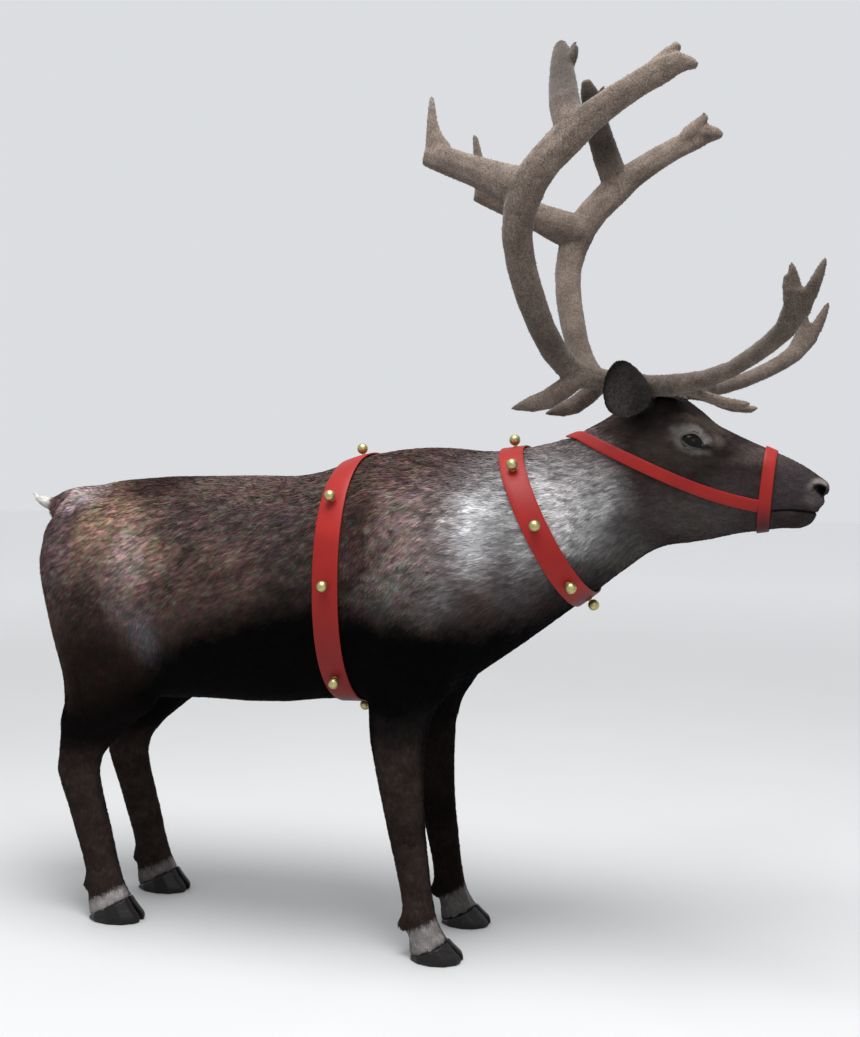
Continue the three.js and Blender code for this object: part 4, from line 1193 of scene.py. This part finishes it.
# How wide the ear is made, behind and ahead of its middle line, at shares of its length from foot to tip
EAR_ALONG = (0.25, 0.35, 0.57, 0.74, 0.88, 0.94, 1.0)
EAR_BEHIND = (1.0, 0.96, 0.94, 0.92, 1.03, 1.22, 1.8)
EAR_AHEAD = (1.0, 0.93, 0.86, 0.82, 0.93, 1.18, 1.8)
# The far ear is made a little shorter than the near one, so that it stays behind the beam
EAR_LENGTH = {"left": 0.90, "right": 1.01}
# The share of the ear's length where its tip grows blunt, and how much of the rest is kept
EAR_BLUNT_FROM, EAR_BLUNT = 0.86, 0.8
EAR_COAT_DEPTH = 0.0008
EAR_TUFTS = 160000
EAR_TUFT_LENGTH, EAR_TUFT_WIDTH = 0.0062, 0.0011
EAR_LIE = (-0.35, 0.55, 0.75)


def shape_ear(ear, length):
    """A smooth egg-shaped outline with a round tip."""
    places, _, side = mirrored(ear)
    axis = np.array(EAR_TIP, float) - EAR_FOOT
    away = places - EAR_FOOT
    along = away @ axis / (axis @ axis)
    aside = away @ np.array(EAR_ACROSS)
    behind, ahead = (np.interp(along, EAR_ALONG, widths) for widths in (EAR_BEHIND, EAR_AHEAD))
    narrower = np.where(aside < 0, behind, ahead)
    places += np.outer(aside * (narrower - 1), EAR_ACROSS)
    shorter = np.maximum(along - EAR_BLUNT_FROM, 0) * (EAR_BLUNT - 1) + np.maximum(along, 0) * (length - 1)
    places += np.outer(shorter, axis)
    put_back(ear, places, side)
    rounded(ear, 18, 0.5)
    relaxed(ear, 60, 0.5 * fade(along, 0.72, 0.95))


def make_ear(side, material):
    ear = fused(f"ear_skin_{side}", [f"ear_{side}"], EAR_VOXEL)
    shape_ear(ear, EAR_LENGTH[side])
    points = points_of(ear)
    set_points(ear, points - normals_of(ear) * EAR_COAT_DEPTH)
    unwrap(ear)
    points = points_of(ear)
    keep_roots(ear, points)
    keep_number(ear, "rim", rim_share(points, side))
    ear.data.materials.append(material)
    ride_on(ear, "ears", f"ear_{side}")
    rng = np.random.default_rng(23)
    roots, normals, uvs = spots_on(ear, lambda middles: np.full(len(middles), EAR_TUFTS), rng)
    tipwards = np.array(EAR_LIE) * (1, SIDES[side], 1)
    along = laid(tipwards + rng.normal(0, 0.15, (len(roots), 3)), normals)
    length = EAR_TUFT_LENGTH * rng.uniform(0.7, 1.2, len(roots)) * (1 - 0.45 * rim_share(roots, side))
    hair = grow_tufts(f"ear_hair_{side}", roots, normals, uvs, along, length, EAR_TUFT_WIDTH,
                      rng.uniform(0.05, 0.16, len(roots)), rng, material)
    keep_number(hair, "rim", np.repeat(rim_share(roots, side), 5))
    ride_on(hair, "ears")


# Antlers

ANTLER_PARTS = ("beam", "upper", "vertical", "rear", "front", "brow", "back")
ANTLER_VOXEL = 0.0032
# What is put on each antler: its swollen foot, the broad fork of the beam and the ends of the tines
ANTLER_LIMBS = [
    [(398, 84, 1280, 8, 8), (425, 84, 1278, 19, 20), (455, 84, 1277, 21, 22), (488, 92, 1276, 21, 22),
     (520, 108, 1277, 21, 21), (556, 124, 1280, 19, 19), (580, 136, 1282, 10, 10)],
    [(128, 236, 1712, 12, 10), (156, 242, 1699, 26, 19), (186, 248, 1686, 35, 24), (214, 256, 1676, 38, 27),
     (240, 262, 1664, 34, 24), (262, 265, 1652, 16, 12)],
    [(58, 210, 1748, 10, 8), (40, 203, 1762, 24, 13), (23, 196, 1788, 21, 13), (14, 189, 1812, 16, 11),
     (10, 184, 1838, 11.5, 9.5), (7, 177, 1868, 8.5, 7), (6, 172, 1890, 4, 4)],
    [(292, 182, 1905, 8, 7), (300, 180, 1925, 15, 11), (311, 175, 1948, 11, 9), (317, 170, 1968, 6, 6)],
    [(470, 270, 1862, 8, 6), (494, 270, 1882, 18, 12), (512, 272, 1897, 16, 12), (527, 270, 1910, 13, 10),
     (537, 268, 1920, 8, 7)],
    [(508, 273, 1890, 8, 6), (535, 274, 1886, 17, 11), (558, 276, 1879, 14, 10), (573, 278, 1872, 7, 6)],
]


def velvet_paint():
    """Short brown-grey velvet, darker and hairy where the antler leaves the skull."""
    paint = Paint("velvet", "root")
    cloud = paint.noise(0.045, detail=4, rough=0.65)
    mottle = paint.noise(0.0065, detail=3, rough=0.7)
    grain = paint.noise(0.0028, detail=2, rough=0.7)
    tint = paint.attribute("tint")
    colour = paint.ramp(cloud, *VELVET_TONES)
    up = paint.spread(paint.z, 1.25, 1.8, 0.86, 1.06)
    for centre, reach, amount in VELVET_SHADES.values():
        up = up * (1 + paint.patch(at(*centre), reach, 0.5) * (amount - 1))
    base = paint.patch(at(*PEDICLE_PLACE), PEDICLE_REACH, 0.35, paint.wandering(paint.alike, 0.02, 0.006))
    shade = up * paint.spread(mottle, 0.3, 0.7, 0.88, 1.12) * paint.spread(grain, 0.32, 0.68, 0.62, 1.4)
    colour = paint.scaled(colour, shade * (tint * 0.9 + 0.6))
    colour = paint.mix(base, colour, tone(27, 22, 21))
    bump = paint.bump(grain + mottle, 0.0006)
    return paint.done(colour, 0.9, bump, Sheen_Weight=0.2, Specular_IOR_Level=0.08)


VELVET_TONES = ((0.32, tone(104, 91, 81)), (0.5, tone(118, 104, 94)), (0.68, tone(132, 118, 107)))
# Where the velvet is darker or paler: the middle, its reach and by how much
VELVET_SHADES = {
    "vertical tine": ((300, 200, 1915), (85, 120, 120), 0.36),
    "brow tine": ((610, 116, 1240), (90, 50, 34), 1.45),
    "end of the upper tine": ((480, 278, 1860), (70, 60, 60), 1.2),
    "over the fork": ((308, 280, 1730), (55, 60, 60), 1.15),
    "middle of the beam": ((275, 190, 1370), (60, 60, 70), 0.72),
    "foot": ((465, 95, 1275), (60, 60, 45), 0.72),
    "palm in front": ((770, 335, 1420), (60, 60, 60), 0.8),
}
# The dark hair between the antler's foot and the skull
PEDICLE_PLACE = (508, 36, 1238)
PEDICLE_REACH = (52, 48, 24)
VELVET_DEPTH = 0.0006
ANTLER_TUFTS = 55000
FUZZ_LENGTH, FUZZ_WIDTH = 0.0030, 0.0011
# The underside of the antler's foot in the side view, in millimetres
FOOT_LINE = [(430, 1253), (528, 1253), (545, 1250), (575, 1243)]


def lift_foot(antler):
    """Draws the foot's underside up to its line, where the skull's hair meets it."""
    places, _, side = mirrored(antler)
    x, y, z = places.T
    below = np.minimum(z - np.interp(x, *zip(*FOOT_LINE)), 0)
    there = fade(x, 412, 432) * (1 - fade(x, 562, 586)) * (y < 135)
    places[:, 2] -= below * 0.88 * there
    put_back(antler, places, side)
    relaxed(antler, 4, 0.5 * there * (below < 1))


def make_antler(side, material):
    nodes = [f"antler_{part}_{side}" for part in ANTLER_PARTS]
    added = [limb(rows, SIDES[side]) for rows in ANTLER_LIMBS]
    antler = fused(f"antler_{side}", nodes, ANTLER_VOXEL, added)
    rounded(antler, 14, 0.5)
    lift_foot(antler)
    set_points(antler, points_of(antler) - normals_of(antler) * VELVET_DEPTH)
    unwrap(antler)
    keep_roots(antler, points_of(antler))
    antler.data.materials.append(material)
    ride_on(antler, "velvet", *nodes)
    rng = np.random.default_rng(31)
    roots, normals, uvs = spots_on(antler, lambda middles: np.full(len(middles), ANTLER_TUFTS), rng)
    along = laid(rng.normal(0, 0.6, (len(roots), 3)) + (0, 0, 0.5), normals)
    length = FUZZ_LENGTH * rng.uniform(0.6, 1.3, len(roots))
    fuzz = grow_tufts(f"antler_fuzz_{side}", roots, normals, uvs, along, length, FUZZ_WIDTH,
                      rng.uniform(0.25, 0.6, len(roots)), rng, material)
    ride_on(fuzz, "velvet")


# Hooves

CLAWS = [f"{end}_hoof_{side}_{part}" for end in ENDS for side in SIDES for part in ("outer", "inner")]
HOOF_VOXEL = 0.0022


def horn_paint():
    paint = Paint("hoof_horn")
    rings = paint.noise(0.004, detail=2, place=paint.moved(paint.place, stretch=(0.15, 0.15, 1)))
    colour = paint.mix(rings, tone(15, 13, 13), tone(40, 35, 33))
    return paint.done(colour, 0.42, paint.bump(rings, 0.0008), Specular_IOR_Level=0.24)


def make_hoof(node, material):
    hoof = fused(node + "_shell", [node], HOOF_VOXEL)
    rounded(hoof, 14, 0.5)
    points = points_of(hoof)
    points[:, 2] = np.maximum(points[:, 2], 0)
    set_points(hoof, points)
    hoof.data.materials.append(material)
    return ride_on(hoof, "horn", node)


# Straps

STRAP_THICKNESS = 0.004
STRAP_CLEARANCE = 0.0004
STRAP_EDGE = 0.0012
# How far a strap's outer face rises towards its middle
STRAP_CROWN = 0.0003
# Each closed band: the top and bottom of its ring from the side, its width, its steps and its CAD node
BANDS = {
    "girth": ((-215, 1136), (-215, 555), 0.058, 240, "girth_strap"),
    "collar": ((149, 1143), (316, 812), 0.054, 200, "collar_strap"),
    "nose": ((705.5, 1134), (689.5, 969.5), 0.026, 90, "noseband"),
}
HEADSTALL_WIDTH = 0.026


def ring_line(surface, top, bottom, count):
    """Where a plane across the side view, through a top and a bottom point, meets the body."""
    top, bottom = at(top[0], 0, top[1]), at(bottom[0], 0, bottom[1])
    middle = (top + bottom) / 2
    down = (bottom - top).normalized()
    reach = (bottom - top).length
    line = []
    for k in range(count):
        angle = 2 * math.pi * k / count
        way = Vector((0, 1, 0)) * math.sin(angle) - down * math.cos(angle)
        line.append(surface.ray_cast(middle + way * reach, -way)[0])
    return line


def strap_on(name, surface, line, width, closed, material, replaced):
    """A flat leather band along a line on the body, with rounded edges."""
    inner, outer, edge = STRAP_CLEARANCE, STRAP_CLEARANCE + STRAP_THICKNESS, STRAP_EDGE
    half = width / 2
    right = [(half - edge, inner), (half, inner + edge), (half, outer - edge),
             (half - 0.3 * edge, outer - 0.3 * edge), (half - edge, outer),
             (half / 2, outer + STRAP_CROWN * 2 / 3)]
    left = [(-aside, height) for aside, height in right[::-1]]
    profile = [left[-1], (0, inner), *right, (0, outer + STRAP_CROWN), *left[:-1]]
    count = len(line)
    points = []
    for k, place in enumerate(line):
        after = line[(k + 1) % count] if closed or k < count - 1 else place
        before = line[k - 1] if closed or k > 0 else place
        normal = surface.find_nearest(place)[1]
        across = (after - before).cross(normal).normalized()
        for aside, height in profile:
            foot, up, *_ = surface.find_nearest(place + across * aside)
            points.append(foot + up * height)
    band = facing_out(built(name, points, tube_faces(count, len(profile), closed)))
    smooth(band, 50)
    band.data.materials.append(material)
    return ride_on(band, "strap", replaced)


# The headstall's line in the side view, from the neck's crest behind the ears down to the noseband
CHEEK_PLACES = [(252, 1192), (284, 1178), (314, 1166), (379, 1140), (443, 1106), (510, 1076), (594, 1047),
                (690, 1021)]
# Where the line turns over the neck, where its top is, and how deep in the neck that turn's middle lies
CHEEK_TURN = 306
CHEEK_TOP = 277
CHEEK_DEPTH = 70
CHEEK_STEP = 5.0
CHEEK_TURN_STEPS = 16
# Further out than any part of the head and neck
OUTSIDE = 400


def cheek_line(surface):
    """From one end of the noseband over the neck behind the ears to the other end."""
    shape = np.polyfit(*zip(*CHEEK_PLACES), 3)
    ahead = np.arange(CHEEK_PLACES[-1][0] - 8, CHEEK_TURN, -CHEEK_STEP)
    starts = [at(x, -OUTSIDE, z) for x, z in zip(ahead, np.polyval(shape, ahead))]
    right = [surface.ray_cast(start, Vector((0, 1, 0)))[0] for start in starts]
    last = right[-1]
    middle = last.z - CHEEK_DEPTH * MM
    widest = math.atan2(last.y, last.z - middle)
    top_x = at(CHEEK_TOP, 0, 0).x
    over = []
    for k in range(1, 2 * CHEEK_TURN_STEPS):
        turn = 1 - k / CHEEK_TURN_STEPS
        way = Vector((0, math.sin(widest * turn), math.cos(widest * turn)))
        start = Vector((top_x + (last.x - top_x) * turn * turn, 0, middle))
        over.append(surface.ray_cast(start + way * OUTSIDE * MM, -way)[0])
    left = [Vector((place.x, -place.y, place.z)) for place in right]
    return right + over + left[::-1]


# Painted shade on the leather under the belly, chest and jaw: the middle, its reach and how much
STRAP_PAINTED_SHADE = (
    ((-215, 0, 552), (60, 130, 42), 0.8),
    ((316, 0, 812), (70, 90, 42), 0.66),
    ((690, 0, 972), (40, 70, 44), 0.85),
)


def leather_paint():
    paint = Paint("red_leather")
    grain = paint.noise(0.0016, detail=2)
    wear = paint.noise(0.09, detail=3)
    colour = paint.mix(paint.spread(wear, 0.3, 0.75), tone(172, 30, 25), tone(190, 37, 29))
    colour = paint.mix(paint.spread(grain, 0.5, 0.8) * 0.25, colour, tone(138, 22, 18))
    # Painted shade: the leather is darker the lower it hangs
    shade = paint.spread(paint.z, 0.56, 0.95, 0.62, 1.0)
    # Painted shade under the belly, chest and jaw
    for place, reach, amount in STRAP_PAINTED_SHADE:
        shade = shade * (1 - paint.patch(at(*place), reach, 0.6) * amount)
    colour = paint.scaled(colour, shade)
    rough = paint.spread(grain + wear * 0.4, 0.3, 1.0, 0.42, 0.58)
    return paint.done(colour, rough, paint.bump(grain, 0.0003), Specular_IOR_Level=0.25)


# Eyes

PUPIL_HALF_LENGTH, PUPIL_HALF_HEIGHT = 12, 8
# How much the clear front of the ball stands out, as a share of its radius
CLEAR_FRONT = 0.025


def eye_paint():
    """A dark brown eye with a wide pupil."""
    paint = Paint("eye")
    middle, along, up, out = (Vector(v) for v in eye_frame())
    away = paint.vector("SUBTRACT", paint.alike, at(*(middle + out * EYE_RADIUS)))
    a = paint.vector("DOT_PRODUCT", away, along, "Value") / (PUPIL_HALF_LENGTH * MM)
    b = paint.vector("DOT_PRODUCT", away, up, "Value") / (PUPIL_HALF_HEIGHT * MM)
    off = (a * a + b * b) ** 0.5
    threads = paint.noise(0.0012, detail=3)
    iris = paint.mix(threads, tone(20, 18, 17), tone(31, 27, 25))
    colour = paint.mix(paint.spread(off, 1.15, 0.85), iris, tone(16, 16, 17))
    colour = paint.mix(paint.spread(off, 1.7, 2.1), colour, tone(10, 9, 9))
    return paint.done(colour, 0.22, Specular_IOR_Level=0.14)


def make_eye(side, material):
    """A ball with a slightly raised clear front."""
    sign = SIDES[side]
    middle, _, _, out = eye_frame()
    bpy.ops.object.select_all(action="DESELECT")
    bpy.ops.mesh.primitive_uv_sphere_add(segments=48, ring_count=32, radius=EYE_RADIUS * MM)
    eye = bpy.context.object
    points = points_of(eye) / MM
    facing = points @ out / EYE_RADIUS
    points *= (1 + CLEAR_FRONT * fade(facing, 0.7, 0.98))[:, None]
    points = (points + middle) * MM
    points[:, 1] *= sign
    set_points(eye, points + np.array(ORIGIN))
    smooth(facing_out(eye))
    eye.name = eye.data.name = f"eye_ball_{side}"
    eye.data.materials.append(material)
    return ride_on(eye, "eyes", f"eye_{side}")


def lid_paint():
    """Bare dark skin at the lid's edge, grey short-haired skin outside it."""
    paint = Paint("lid_skin")
    grain = paint.noise(0.0011, detail=3)
    edge = paint.attribute("edge")
    low = paint.spread(paint.attribute("low"), 0.15, 0.75)
    outer = paint.mix(low, tone(122, 116, 110), tone(80, 73, 70))
    colour = paint.mix(paint.spread(edge + grain * 0.1, 0.26, 0.46), tone(14, 12, 12), outer)
    return paint.done(paint.scaled(colour, grain * 0.7 + 0.65), 0.55, paint.bump(grain, 0.0003),
                      Specular_IOR_Level=0.25)


# Across a lid from the ball outwards: its share of the almond's size and its height over the ball
LID_PROFILE = [(0.93, -1.0), (0.955, 0.3), (0.985, 1.2), (1.03, 2.0), (1.09, 2.4), (1.16, 2.3), (1.24, 1.6),
               (1.28, 0.4), (1.12, -1.4)]
LID_STEPS = 72
# How far the lids reach where the opening between them is narrow, in millimetres over the profile's share
LID_REACH = 24.0
LID_WIDEST = 2.6
TEAR_CORNER = 4.0


def make_lids(side, material):
    """Both lids as one smooth ring round the almond, thicker above, drawn out at the tear corner."""
    sign = SIDES[side]
    middle, along, up, out = eye_frame()
    points, edges, lows = [], [], []
    for k in range(LID_STEPS):
        angle = 2 * math.pi * k / LID_STEPS
        a, b = almond_reach(angle)
        above = max(0.0, math.sin(angle))
        corner = max(0.0, math.cos(angle)) ** 12
        widening = min(LID_WIDEST, max(1 + 0.25 * above, LID_REACH / math.hypot(a, b)))
        for share, height in LID_PROFILE:
            share = 1 + (share - 1) * (widening if share > 1 else 1)
            drawn_out = TEAR_CORNER * corner * (share > 0.97)
            flat = middle + along * (a * share + drawn_out) + up * (b * share - corner)
            ray = flat - middle
            depth = math.sqrt(max((EYE_RADIUS + height * (1 + 0.35 * above)) ** 2 - ray @ ray, 4.0))
            place = flat + out * depth
            points.append(at(place[0], sign * place[1], place[2]))
        bare = 1 - 0.9 * max(0.0, math.cos(angle)) ** 8
        edges += [j / (len(LID_PROFILE) - 1) * bare for j in range(len(LID_PROFILE))]
        lows += [0.5 - 0.5 * math.sin(angle + 0.5)] * len(LID_PROFILE)
    lids = built(f"lids_{side}", points, tube_faces(LID_STEPS, len(LID_PROFILE), True))
    keep_number(lids, "edge", edges)
    keep_number(lids, "low", lows)
    smooth(finished(facing_out(lids), "SUBSURF", levels=1, render_levels=1))
    lids.data.materials.append(material)
    return ride_on(lids, "face")


# Bells

BELL_RADIUS = 0.0125
BELL_NECK = 0.0025
# The foot and neck of a bell: radius and height, in metres
BELL_FOOT = [(0.0, -0.0003), (0.0052, -0.0003), (0.0056, 0.0002), (0.0056, 0.0009), (0.0050, 0.0014),
             (0.0034, 0.0018)]
# The seam round a bell: its depth, and half its width as an angle
SEAM_DEPTH, SEAM_ANGLE = 0.00035, 0.05
BELL_ROWS = 24
# How high the side bells of each strap hang, in millimetres
BELL_HEIGHTS = {"girth": (1028, 847, 636), "collar": (1096, 979, 857)}


def brass_paint():
    paint = Paint("brass")
    tarnish = paint.noise(0.006, detail=4, rough=0.6)
    fine = paint.noise(0.0009, detail=2)
    colour = paint.mix(paint.spread(tarnish, 0.35, 0.75), tone(236, 226, 164), tone(214, 198, 130))
    rough = paint.spread(tarnish + fine * 0.3, 0.35, 0.9, 0.34, 0.46)
    return paint.done(colour, rough, paint.bump(fine, 0.00006), Metallic=1.0)


def on_ball(angle, radius):
    return radius * math.cos(angle), BELL_NECK + BELL_RADIUS * (1 + math.sin(angle))


def bell_shape():
    """The outline of a ball with a fine seam, on a neck and a round foot, as radius and height."""
    profile = list(BELL_FOOT)
    for k in range(2, BELL_ROWS - 1):
        angle = math.pi * (k / BELL_ROWS - 0.5)
        seam = SEAM_DEPTH * math.exp(-(angle / SEAM_ANGLE) ** 2)
        profile.append(on_ball(angle, BELL_RADIUS - seam))
        if k in (BELL_ROWS // 2 - 1, BELL_ROWS // 2):
            profile.append(on_ball(angle + SEAM_ANGLE, BELL_RADIUS))
    profile.append((0.0, BELL_NECK + 2 * BELL_RADIUS))
    return profile


def make_bell(name, foot, up, material, replaced):
    """A bell turned from its outline, standing on a strap."""
    profile = bell_shape()
    lines = [(k, k + 1) for k in range(len(profile) - 1)]
    bell = built(name, [(radius, 0, height) for radius, height in profile], [], lines)
    in_edit(bell, lambda: bpy.ops.mesh.spin(steps=32, angle=2 * math.pi, center=(0, 0, 0), axis=(0, 0, 1)),
            lambda: bpy.ops.mesh.select_all(action="SELECT"),
            lambda: bpy.ops.mesh.remove_doubles(threshold=1e-6),
            lambda: bpy.ops.mesh.normals_make_consistent(inside=False))
    turn = up.to_track_quat("Z", "Y").to_matrix().to_4x4()
    bell.data.transform(Matrix.Translation(foot) @ turn)
    smooth(bell, 60)
    bell.data.materials.append(material)
    return ride_on(bell, "brass", replaced)


def hang_bells(strap, line, surface, material):
    """Bells on a strap: one at its top, one at its bottom, and three down each side."""
    highest = max(line, key=lambda place: place.z)
    lowest = min(line, key=lambda place: place.z)
    wanted = {"top": highest, "bottom": lowest}
    for side, sign in SIDES.items():
        for k, height in enumerate(BELL_HEIGHTS[strap]):
            half = [place for place in line if place.y * sign > 0]
            wanted[f"{side}_{k + 1}"] = min(half, key=lambda place: abs(place.z - height * MM))
    for where, place in wanted.items():
        foot, up, *_ = surface.find_nearest(place)
        foot = foot + up * (STRAP_CLEARANCE + STRAP_THICKNESS + STRAP_CROWN)
        make_bell(f"{strap}_brass_{where}", foot, up, material, f"{strap}_bell_{where}")


set_camera()
set_studio()
skin = make_skin()
body = surface_of(skin)
leather, brass = leather_paint(), brass_paint()
straps = {}
for name, (top, bottom, width, steps, node) in BANDS.items():
    straps[name] = (ring_line(body, top, bottom, steps), width)
    strap_on(f"{name}_band", body, *straps[name], True, leather, node)
straps["head"] = (cheek_line(body), HEADSTALL_WIDTH)
strap_on("head_band", body, *straps["head"], False, leather, "headstall")
for name in BELL_HEIGHTS:
    hang_bells(name, straps[name][0], body, brass)
coat = coat_paint()
set_coat_depth(skin)
skin.data.materials.append(coat)
ride_on(skin, "coat", *FLESH)
make_coat(skin, coat, straps.values())
velvet, horn = velvet_paint(), horn_paint()
eye_shine, lid_skin, ear_coat = eye_paint(), lid_paint(), ear_paint()
for side in SIDES:
    make_eye(side, eye_shine)
    make_lids(side, lid_skin)
    make_ear(side, ear_coat)
    make_antler(side, velvet)
for claw in CLAWS:
    make_hoof(claw, horn)
